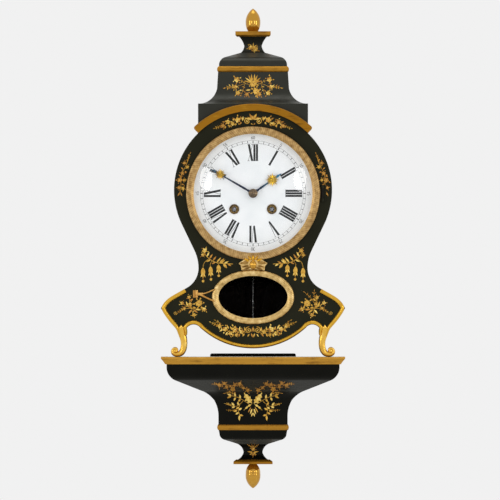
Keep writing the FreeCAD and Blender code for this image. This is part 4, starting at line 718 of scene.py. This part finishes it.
# A stroke is the places across of its two outer corners, then of its two inner ones.
STROKES = {"I": [(-1.7, 1.7, 1.7, -1.7)],
           "V": [(-4.4, -0.7, 1.6, -1), (3.6, 4.2, 1.6, 0.9)],
           "X": [(-4.6, -1, 4.6, 1), (3.4, 4, -3.4, -4)]}
SERIFS = {"I": [(-2.1, 2.1)], "V": [(-5, -0.6), (2.4, 5)], "X": [(-5, -1.2), (1.4, 5)]}
FIGURE_FOOT, FIGURE_TALL, FIGURE_STEP, FIGURE_SHIFT = 89.2, 5, 0.68, 0.2
FIGURES = {
    "0": [(0.3 + 0.26 * cos(turn * pi / 8), 0.5 + 0.47 * sin(turn * pi / 8)) for turn in range(17)],
    "1": pairs(0.12, 0.8, 0.32, 1, 0.32, 0),
    "2": pairs(0.06, 0.76, 0.1, 0.92, 0.3, 1, 0.5, 0.92, 0.54, 0.74, 0.44, 0.52, 0.06, 0, 0.56, 0),
    "3": pairs(0.06, 0.9, 0.22, 1, 0.44, 0.96, 0.52, 0.78, 0.42, 0.58, 0.26, 0.53, 0.44, 0.48, 0.55, 0.27,
               0.46, 0.06, 0.24, 0, 0.05, 0.1),
    "4": pairs(0.42, 0, 0.42, 1, 0.04, 0.3, 0.58, 0.3),
    "5": pairs(0.52, 1, 0.12, 1, 0.08, 0.56, 0.28, 0.63, 0.48, 0.54, 0.55, 0.32, 0.46, 0.07, 0.24, 0,
               0.05, 0.1),
    "6": pairs(0.5, 0.96, 0.3, 0.9, 0.12, 0.62, 0.07, 0.34, 0.14, 0.08, 0.3, 0, 0.48, 0.08, 0.54, 0.3,
               0.46, 0.5, 0.3, 0.57, 0.14, 0.48, 0.07, 0.34),
}
TRACK = (82.9, 87)


def draw_letter(ink, turn, letter, middle):
    low, high = NUMERAL_LOW, NUMERAL_HIGH
    for a, b, c, d in STROKES[letter]:
        ink.patch(turn, [(middle + a, high), (middle + b, high), (middle + c, low), (middle + d, low)])
    for end in (low, high - SERIF):
        for left, right in SERIFS[letter]:
            if letter != "V" or end > low:
                ink.bar(turn, middle + left, middle + right, end, end + SERIF, 1)


def make_dial_marks():
    ink = Ink()
    for hour, numeral in enumerate(NUMERALS):
        turn = radians(30 * hour)
        place = -sum(LETTER_WIDE[letter] for letter in numeral) / 2
        for letter in numeral:
            draw_letter(ink, turn, letter, place + LETTER_WIDE[letter] / 2)
            place += LETTER_WIDE[letter]
    for minute in range(60):
        half = 0.6 if minute % 5 == 0 else 0.4
        ink.bar(radians(6 * minute), -half, half, *TRACK, 2)
        turns = [radians(6 * minute + step) for step in (0, 2, 4, 6)]
        for ring in TRACK:
            ink.line(0, [(ring * sin(turn), ring * cos(turn)) for turn in turns], 0.3)
    for hour in range(1, 13):
        number = str(hour * 5)
        for index, digit in enumerate(number):
            start = (index - len(number) / 2) * FIGURE_TALL * FIGURE_STEP
            points = [(start + x * FIGURE_TALL + FIGURE_SHIFT, FIGURE_FOOT + y * FIGURE_TALL)
                      for x, y in FIGURES[digit]]
            ink.line(radians(30 * hour), points, 0.7)
    ink.piece("dial_marks", [INK], "clock", "enamel", closed=False)


HAND_SECTION = pairs(-1, 0, -0.9, 0.8, 0, 1.2, 0.9, 0.8, 1, 0)
SUN_RAYS = 16
HUB_STEPS = 48
RAY_FRONT, RAY_RIDGE = 1.1, 0.55


def make_hand(name, node, body, look, turn, far, size, tip, floor, high):
    """A slender blued hand that passes behind a gilt sun with thin rays."""
    shape = Shape()
    way = Vector((sin(radians(turn)), cos(radians(turn))))
    side = Vector((way.y, -way.x))
    rings = []
    for out, half in ((4, 3.4), (7.4, 2.4), (11, 1.5), (17, 1.9), (far - size * 0.5, 1.05), (far, 1),
                      (far + size * 0.6, 1.7), (far + size, 2.1), (tip - 6, 1.5), (tip, 0.25)):
        ring = []
        for across, front in HAND_SECTION:
            place = way * out + side * half * across
            ring.append((place.x, floor + front, DIAL_Z + place.y))
        rings.append(ring)
    shape.rings(rings)
    hub = [(floor, 7), (floor + 1, 7), (floor + 1.2, 6.6), (floor + 1.2, 3), (floor, 3)]
    shape.rings(turned(hub, 0, DIAL_Z, HUB_STEPS), looped=True)
    x, z = way.x * far, DIAL_Z + way.y * far
    for index in range(SUN_RAYS):
        angle = tau * index / SUN_RAYS
        reach = size * (1 if index % 2 == 0 else 0.82)
        ray = Vector((sin(angle), cos(angle)))
        wide = Vector((ray.y, -ray.x)) * size * 0.1
        rings = []
        for out, share in ((size * 0.3, 1), (size * 0.62, 0.9), (reach, 0.08)):
            spot = Vector((x, z)) + ray * out
            rings.append([(spot.x + wide.x * share * across, floor + RAY_FRONT + RAY_RIDGE * share * rise,
                           spot.y + wide.y * share * across) for across, rise in ((-1, 0), (0, 1), (1, 0))])
        shape.rings(rings, 1)
    dome(shape, x, z, size * 0.6, size * 0.6, floor + 1, high, 1, 24, 6)
    shape.piece(name, [look, SUN_GILT], body, "blued_steel", node, 30)


COLLET_PROFILE = pairs(131.9, 7.6, 133.2, 7.6, 134.2, 7.2, 134.6, 6.3, 134.3, 5.4, 134.6, 4.6, 135.4, 3.4,
                       135.6, 1.6, 135.4, 0.2)


def make_collet_rim():
    """A turned boss over the middle of the hands."""
    shape = Shape()
    shape.rings(turned(COLLET_PROFILE, 0, DIAL_Z, HUB_STEPS))
    shape.piece("collet_boss", [COLLET_BRONZE], "minute", "bronze", "hand_collet")


make_dial_marks()
make_hand("hour_sun_hand", "hour_hand", "hour", HOUR_BLUE, 55, 38.8, 11.4, 57.8, 127.6, 1)
make_hand("minute_sun_hand", "minute_hand", "minute", MINUTE_BLUE, 300, 62.7, 9.4, 80.9, 130.8, 1.3)
make_collet_rim()


# Painted flowers

GOLD, PALE, RUST = 0, 1, 2
LEAF_SLIM = 0.74
PAINT_LIFT, LEAF_RIDGE, STEM_RIDGE, DOT_RIDGE = 0.12, 0.42, 0.25, 0.5
GARLAND_Z = 272


def flat_ground(x, z):
    return Vector((x, CASE_FRONT, z)), Vector((0, 1, 0))


def ground_of(name):
    """The front of a node, as a place and an outward direction for each x and z."""
    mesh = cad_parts[name].data
    tree = BVHTree.FromPolygons([vertex.co.copy() for vertex in mesh.vertices],
                                [tuple(face.vertices) for face in mesh.polygons])

    def ground(x, z):
        place, normal, _, _ = tree.ray_cast(Vector((x * MM, -1, z * MM)), Vector((0, 1, 0)))
        if normal.y > 0:
            normal = -normal
        return Vector((x, -place.y / MM, z)), Vector((normal.x, -normal.y, normal.z))
    return ground


def straight(x, z):
    return x, z


def round_dial(turn, far):
    """The place at a turn in degrees from the top and a distance from the garlands' centre."""
    return far * sin(radians(turn)), GARLAND_Z + far * cos(radians(turn))


def heading(angle):
    return Vector((cos(angle), sin(angle)))


class Spray(Shape):
    """Leaves, stems and flowers drawn flat and laid on a front, slightly raised.

    Rows of numbers are x and z in turn; the bend makes places of them."""

    def __init__(self, ground, seed, bend=straight):
        super().__init__()
        self.ground = ground
        self.bend = bend
        self.chance = random.Random(seed)
        self.mirror = 1

    def both_sides(self):
        """Sets the drawing to the right, then to the left, and at last to the right again."""
        for mirror in (1, -1):
            self.mirror = mirror
            yield mirror
        self.mirror = 1

    def lay(self, place, height):
        spot, outward = self.ground(self.mirror * place.x, place.y)
        self.points.append(tuple(spot + outward * (PAINT_LIFT + height)))

    def ribbon(self, rows, ridge, tint):
        """A strip with a raised middle, from its middle places and the ways to its edge."""
        for centre, edge in rows:
            self.lay(centre - edge, 0)
            self.lay(centre, ridge)
            self.lay(centre + edge, 0)
        self.grid(len(rows), 3, tint, self.mirror < 0)

    def leaf(self, base, tip, wide, tint=None, curl=0, teeth=0):
        if tint is None:
            tint = self.chance.choice((GOLD, GOLD, PALE, RUST))
        start = Vector(base)
        along = Vector(tip) - start
        side = left_of(along)
        rows = []
        last = 4 * teeth if teeth else 6
        for row in range(last + 1):
            share = row / last
            half = LEAF_SLIM * wide / 2 * (0.06 + 0.94 * sin(pi * share ** 0.8) ** 1.1)
            if teeth and row % 4 in (1, 2):
                half *= 0.5
            rows.append((start + along * share + side * curl * sin(pi * share), side * half))
        self.ribbon(rows, LEAF_RIDGE, tint)

    def leaves(self, rows, wide, tint=None):
        for x, z, tip_x, tip_z in rows:
            self.leaf(self.bend(x, z), self.bend(tip_x, tip_z), wide, tint)

    def trail(self, points, wide, tint):
        line = smooth_line(points, 6)
        rows = [(Vector(place), side * wide / 2) for place, side in zip(line, sides(line))]
        self.ribbon(rows, STEM_RIDGE, tint)

    def places(self, numbers):
        return [self.bend(x, z) for x, z in pairs(*numbers)]

    def stem(self, numbers, wide=0.7, tint=GOLD):
        self.trail(self.places(numbers), wide, tint)

    def dot(self, centre, radius, tint):
        rings, around = 4, 11
        for ring in range(rings):
            reach = radius * (1 - ring / (rings - 0.5))
            for index in range(around):
                offset = heading(tau * index / (around - 1)) * reach
                self.lay(Vector(centre) + offset, DOT_RIDGE * sin(pi / 2 * ring / rings))
        self.grid(rings, around, tint, self.mirror < 0)

    def flower(self, centre, radius, petals=5, outer=None, inner=PALE, leaves=4):
        """Slim petals round a small eye, with little leaves that stand out between them."""
        middle = Vector(centre)
        turn = self.chance.uniform(0, tau)
        for index in range(petals):
            way = heading(turn + tau * index / petals)
            reach = radius * self.chance.uniform(0.8, 1.05)
            self.leaf(middle + way * radius * 0.2, middle + way * reach, radius * 0.9, outer)
        for index in range(leaves):
            way = heading(turn + tau * (index + 0.5 + self.chance.uniform(-0.2, 0.2)) / leaves)
            reach = radius * self.chance.uniform(1.35, 1.75)
            self.leaf(middle + way * radius * 0.95, middle + way * reach, radius * 0.5, outer)
        self.dot(centre, radius * 0.24, inner)

    def flowers(self, rows, outer=None, inner=PALE):
        """Flowers from rows of x, z and size; a fourth value is the flower's own tint."""
        for x, z, size, *tint in rows:
            self.flower(self.bend(x, z), size, 5, tint[0] if tint else outer, inner)

    def rose(self, centre, radius):
        for share, petals, tint, leaves in ((1, 8, GOLD, 6), (0.62, 5, PALE, 0), (0.34, 4, RUST, 0)):
            self.flower(centre, radius * share, petals, tint, RUST, leaves)

    def sprig(self, numbers, count, size, tint=None):
        """A stem with leaves on both sides and one at its tip."""
        points = self.places(numbers)
        line = smooth_line(points, 8)
        self.trail(points, 0.6, GOLD)
        for index in range(count):
            spot = int((index + 0.7) / (count + 0.4) * (len(line) - 2))
            place = Vector(line[spot])
            along = (Vector(line[spot + 1]) - place).normalized()
            for turn in (1, -1):
                way = rotated(along, radians(self.chance.uniform(38, 58)) * turn)
                length = size * self.chance.uniform(0.75, 1.1)
                self.leaf(place, place + way * length, length * 0.42, tint)
        tip = Vector(line[-1])
        along = (tip - Vector(line[-3])).normalized()
        self.leaf(tip, tip + along * size, size * 0.42, tint)

    def spiral(self, x, z, radius, start, turns, wide, handed):
        middle_x, middle_z = self.bend(x, z)
        steps = int(14 * turns)
        line = []
        for index in range(steps + 1):
            angle = radians(start) + handed * tau * turns * index / steps
            reach = radius * (1 - 0.86 * index / steps)
            line.append((middle_x + reach * cos(angle), middle_z + reach * sin(angle)))
        self.trail(line[::2] + line[-1:], wide, GOLD)
        self.dot(line[-1], wide * 0.9, PALE)

    def bell(self, top, bottom, wide):
        """A hanging flower: a slim bulb with a frilled end and a drop below it."""
        start, end = Vector(top), Vector(bottom)
        along = end - start
        side = left_of(along)
        self.leaf(start, start + along * 0.78, wide, GOLD)
        for turn in (1, -1):
            frill = start + along * 0.72 + side * turn * wide * 0.42
            self.leaf(start + along * 0.4, frill, wide * 0.34, PALE)
        self.trail([start + along * 0.7, end], 0.7, RUST)
        self.dot(end, wide * 0.22, GOLD)

    def paint(self, name, body):
        self.piece(name, PAINTS, body, "gilt", sharp=60, closed=False)


def make_crown_flowers():
    neck = Spray(ground_of("crown_top"), 11)
    neck.flowers(((-4.4, 511, 4.4), (4.4, 508.6, 4.6)))
    for tip in pairs(0.8, 520, 6.6, 516.4, -6.4, 517.6, 0.4, 503.6, -8.6, 510, 8.8, 511.6):
        neck.leaf((0, 511), tip, 2.6)
    neck.paint("crown_neck_flowers", "crown")

    bell = Spray(ground_of("crown_base"), 12)
    for _ in bell.both_sides():
        bell.stem((0, 449, 14, 451, 27, 446.5, 40, 445.5))
        bell.sprig((30, 446, 38, 446.4, 45, 444.6), 3, 5.4)
        bell.flowers(((27, 458, 5.4), (29.4, 446, 4.4), (25, 435.6, 4.8), (10.4, 433.4, 4.2, RUST)))
        bell.sprig((14, 450, 16, 443, 18, 437), 2, 4.4)
        bell.sprig((12, 451, 16, 455, 21, 456), 2, 4.2)
        for tip in pairs(7.6, 466, 13, 461.6, 2.6, 467.6, 14.6, 456):
            bell.leaf((2, 453), tip, 3.4)
        bell.leaf((4, 441), (12.6, 440.4), 3.2)
    bell.rose((0.6, 451.4), 6.4)
    bell.rose((5.2, 438.4), 6.4)
    bell.leaf((6, 432), (8.4, 426.6), 2.6)
    bell.paint("crown_bell_flowers", "crown")


def make_arch_flowers():
    arch = Spray(flat_ground, 21, round_dial)
    for _ in arch.both_sides():
        for turn, far, wide in ((2.6, 130, 5), (0.8, 127.4, 3), (4.6, 124.6, 3.4), (7.6, 124, 3)):
            arch.leaves([(0.3, 119.4, turn, far)], wide)
        arch.spiral(4.6, 117.4, 5.4, 120, 1.5, 1.3, -1)
        arch.leaves([(1.8, 114, 0.2, 110.6)], 2.4)
        arch.leaves([(8.4, 118.6, 7.4, 126.4)], 3.4)
        arch.flowers(((12, 121.6, 5.8), (16.6, 117.6, 4.2), (19.8, 123, 4.8), (24.4, 120, 4.2, RUST)))
        arch.leaves(((8.6, 121, 9.6, 127.4), (13.6, 123, 15.8, 127.6), (21.6, 124.6, 24, 127),
                     (9.4, 117, 11.4, 113.4), (14, 117.4, 14.6, 113), (18.6, 117, 20.4, 113.4),
                     (22.4, 118.2, 24, 114.4)), 3)
        arch.sprig((25, 121.4, 28, 121.4, 30.6, 122.6), 3, 4.2)
    arch.paint("arch_garland", "clock")

    side = Spray(flat_ground, 22, round_dial)
    for _ in side.both_sides():
        side.stem((60, 121, 68, 119, 76, 121, 85, 119.5, 92, 121))
        side.sprig((66, 119.6, 62, 120.8, 59, 121.6), 3, 4.2, RUST)
        side.flowers(((67, 123, 3.4), (69, 116, 3.4, GOLD), (75, 120.6, 3.8), (80.6, 122.4, 5),
                      (80, 115, 3.2, GOLD), (86.6, 122.4, 3.4), (87, 115.6, 3.6, GOLD)), RUST)
        side.leaves(((72, 121, 71, 126), (73, 118, 73.6, 113.6), (83.6, 119, 84, 113.6),
                     (78, 122, 76.6, 126.4), (90, 121, 93.4, 124.6), (90, 119.6, 93.6, 117)), 2.6, RUST)
    side.paint("side_sprays", "clock")


def make_corner_flowers():
    corner = Spray(flat_ground, 31)
    for _ in corner.both_sides():
        corner.stem((82, 174, 78, 168, 71, 161, 61, 156, 50, 154.4, 33, 153.4), 1)
        corner.flowers(((79.6, 175.6, 4.8), (82.8, 168.2, 3.4)))
        corner.leaves(((72, 162, 66.6, 170), (66, 158.6, 60.6, 166.6), (76, 165.6, 72, 173.6),
                       (60, 156, 52.6, 164.4), (53, 154.6, 46, 160.6), (70, 160.4, 77.6, 157),
                       (62, 156.4, 68.4, 153.4), (48, 154, 40, 158), (42, 153.8, 36, 150)), 3.6)
        corner.leaf((55, 155), (47.6, 162.6), 4.6, GOLD)
        corner.leaf((49, 154), (43, 146.4), 5.8, GOLD)
        for line, top, bottom in (((73, 162, 80, 156, 82.6, 148), (82.6, 147.6), (82.4, 125)),
                                  ((67, 159, 70.4, 154, 70.2, 149), (70.2, 149.6), (69.4, 128)),
                                  ((60, 156, 57.6, 153.6, 56.8, 151), (56.8, 152.4), (56.6, 134))):
            corner.stem(line)
            corner.bell(top, bottom, 9.6)
    corner.paint("corner_sprays", "clock")


def make_lower_flowers():
    side = Spray(flat_ground, 41)
    heart_x, heart_z = 101, 80
    for mirror in side.both_sides():
        side.rose((89, 88.6), 6.4)
        for x, z, size in ((105.6, 98.4, 3.6), (103.6, 87, 3.8), (80.4, 78.6, 4.2), (97.4, 69.4, 4),
                           (117, 89, 3.8), (113.6, 80.4, 3.4)):
            side.stem((heart_x, heart_z, (heart_x + x) / 2 + 1, (heart_z + z) / 2, x, z))
            side.flower((x, z), size)
        side.leaves(((102, 81, 109.6, 85.6), (100, 82, 94, 81), (101, 78, 106.6, 71.4),
                     (99, 78.6, 90.6, 72.4), (107, 83, 110.6, 92), (95, 79, 86, 77.4),
                     (104, 92, 98.6, 96.4)), 3.8)
        side.sprig((114, 79, 119.6, 77, 124.6, 72.4), 3, 4.2)
        side.spiral(128, 72.6, 3.4, 200, 1.2, 0.7, 1)
        if mirror > 0:
            side.sprig((100, 91, 93, 100, 86, 106), 3, 4.4, RUST)
            side.sprig((103, 96, 100.6, 103, 101, 108), 2, 4.2, RUST)
    side.paint("side_bouquets", "clock")

    lower = Spray(flat_ground, 42)
    for _ in lower.both_sides():
        lower.spiral(7.2, 44.6, 5.4, 100, 1.5, 1.2, -1)
        lower.leaf((2, 41), (0.2, 50.6), 2.6)
        lower.leaf((3, 39), (0.3, 31.6), 3.2)
        lower.leaf((6, 38), (9.4, 33), 2.8)
        lower.stem((8, 39.6, 20, 42, 36, 41.6, 52, 48, 64, 54.6))
        lower.flowers(((18.6, 41.6, 4.8), (29.6, 45.4, 6), (37.6, 38.6, 4.2), (46, 45.8, 5.2),
                       (55, 50.8, 4), (27.6, 36.4, 3.4, GOLD)))
        lower.leaves(((13, 42, 14, 49.6), (23, 43, 21.6, 50.4), (14, 39, 17.4, 33.4),
                      (22, 39, 23.6, 33), (34, 44, 38, 51), (33, 39, 33.6, 32.8),
                      (42, 41, 45.6, 36), (50, 45.4, 55.6, 42), (40, 46, 43.6, 53.6)), 3.4)
        lower.sprig((56, 52, 63, 54.4, 69, 57), 3, 4.2)
        lower.sprig((52, 50, 56, 56, 61.6, 60), 2, 3.8)
    lower.paint("lower_garland", "clock")


BOUQUET_LEAVES = (
    (36, -64.6, 43, -68.4), (36, -64, 42.6, -61.4), (29, -66, 30.6, -59), (29, -67, 31.6, -73),
    (21, -69, 22, -62), (21, -70, 24.4, -74.6), (31, -81, 35.6, -75.6), (30, -82, 35, -84.6),
    (24, -80, 25.6, -74), (23.6, -83, 28, -87), (23.6, -88, 18.4, -84.6), (23.6, -92, 29, -95.4),
    (22.6, -96, 16, -97.6), (22.4, -97, 22.8, -106), (26, -89, 32.6, -90.4))


def make_bracket_flowers():
    body = Spray(ground_of("bracket_body"), 51)
    for _ in body.both_sides():
        body.leaf((1.6, -77), (14.8, -59), 15, PALE, -1.2, 4)
        body.leaf((2, -76), (9.4, -62), 4.4, GOLD)
        body.leaf((1.6, -78), (15.6, -89), 4.8, PALE, 0.8, 3)
        body.leaf((3, -83), (8.6, -93), 2.6)
        body.leaf((1.4, -86), (4.8, -95), 3.4, PALE)
        body.leaf((0.6, -92), (2.8, -99.4), 2.8, PALE)
        body.stem((4, -80, 16, -72, 28, -66, 38, -64))
        body.stem((16, -73, 24, -80, 32, -82, 44, -78))
        body.stem((22, -79, 24, -88, 22, -98))
        for row in BOUQUET_LEAVES:
            body.leaves([row], 4.4, body.chance.choice((PALE, PALE, GOLD)))
        body.sprig((34, -80, 40, -78.4, 45, -77.4), 3, 3.2)
        body.sprig((28, -87, 35, -88.6, 42, -88.2), 4, 3)
        body.sprig((30, -62, 38, -59, 46, -60), 3, 3.6, RUST)
        body.stem((8, -58, 20, -48, 36, -47, 52, -45, 64, -44.6), 0.7, RUST)
        body.flowers(((33.6, -53.4, 5.4), (22, -44.4, 3.8), (8.6, -55.4, 4), (43.4, -49.6, 3.6),
                      (47.6, -43.6, 3.8), (55, -47.6, 3.8), (30, -45.6, 3.4), (16, -51, 3.2)), RUST, GOLD)
        body.sprig((54, -45.6, 60, -44.4, 65, -44.6), 3, 3.6, RUST)
    body.paint("bracket_bouquet", "bracket")

    bowl = Spray(ground_of("bracket_bowl"), 52)
    for _ in bowl.both_sides():
        bowl.leaf((0.6, -158.6), (9.6, -156.8), 3.4, GOLD)
        bowl.sprig((1.4, -151, 4.6, -148, 7.4, -146.4), 2, 3, RUST)
        bowl.leaf((0.6, -150), (2.8, -143.6), 2, RUST)
        bowl.leaf((1, -159), (6, -163), 2.4, GOLD)
    bowl.flower((0, -153), 3.8)
    bowl.flower((0, -161.6), 3.4, 5, RUST, GOLD)
    bowl.paint("bowl_bouquet", "bracket")


make_crown_flowers()
make_arch_flowers()
make_corner_flowers()
make_lower_flowers()
make_bracket_flowers()


# Camera, light and floor. Lengths are in metres, the sensor's in millimetres.

VIEW_WIDE = 0.825
VIEW_FAR = 30
CLIP_FAR = 100
SENSOR = 36
FRAME_X = -0.005
FRAME_Z = 0.1765
LAMP_TARGET = (0, -0.1, 0.2)
FLOOR_HALF, FLOOR_Z = 3, -0.62


def aim(item, place, target):
    item.location = place
    item.rotation_euler = (Vector(target) - Vector(place)).to_track_quat("-Z", "Y").to_euler()
    bpy.context.scene.collection.objects.link(item)
    return item


def make_camera():
    data = bpy.data.cameras.new("camera")
    data.sensor_width = SENSOR
    data.lens = SENSOR * VIEW_FAR / VIEW_WIDE
    data.clip_end = CLIP_FAR
    place = (FRAME_X, -VIEW_FAR - CASE_FRONT * MM, FRAME_Z)
    bpy.context.scene.camera = aim(bpy.data.objects.new("camera", data), place, (FRAME_X, 0, FRAME_Z))


def make_lamp(name, place, wide, tall, power):
    data = bpy.data.lights.new(name, "AREA")
    data.shape = "ELLIPSE"
    data.size = wide
    data.size_y = tall
    data.energy = power
    aim(bpy.data.objects.new(name, data), place, LAMP_TARGET)


def make_world():
    """An even pale room, the same for light, reflections and the ground behind the clock."""
    world = bpy.data.worlds.new("room")
    bpy.context.scene.world = world
    world.use_nodes = True
    world.node_tree.nodes["Background"].inputs["Color"].default_value = tone(241, 241, 241)


def make_floor():
    look = Look("pale_floor", {"Specular IOR Level": 0.2})
    look.colours(look.noise(6, 3), (0.3, (232, 232, 231)), (0.7, (240, 240, 239)))
    look.spread(look.noise(20, 3), 0.6, 0.8)
    corners = [(x * FLOOR_HALF, y * FLOOR_HALF, FLOOR_Z) for x, y in ((-1, -1), (1, -1), (1, 1), (-1, 1))]
    mesh = bpy.data.meshes.new("floor")
    mesh.from_pydata(corners, [], [(0, 1, 2, 3)])
    mesh.materials.append(look.material)
    floor = bpy.data.objects.new("floor", mesh)
    bpy.context.scene.collection.objects.link(floor)


make_camera()
make_world()
make_floor()
for side in (1, -1):
    make_lamp("soft_box", (side * 2.5, -1.9, 0.5), 0.7, 1.1, 9.2)
    make_lamp("window_light", (side * 1.21, -3.1, 0.64), 0.34, 0.66, 4.2)
make_lamp("top_light", (0, -0.35, 2.4), 1.6, 1, 7)
bpy.context.scene.view_settings.view_transform = "Standard"
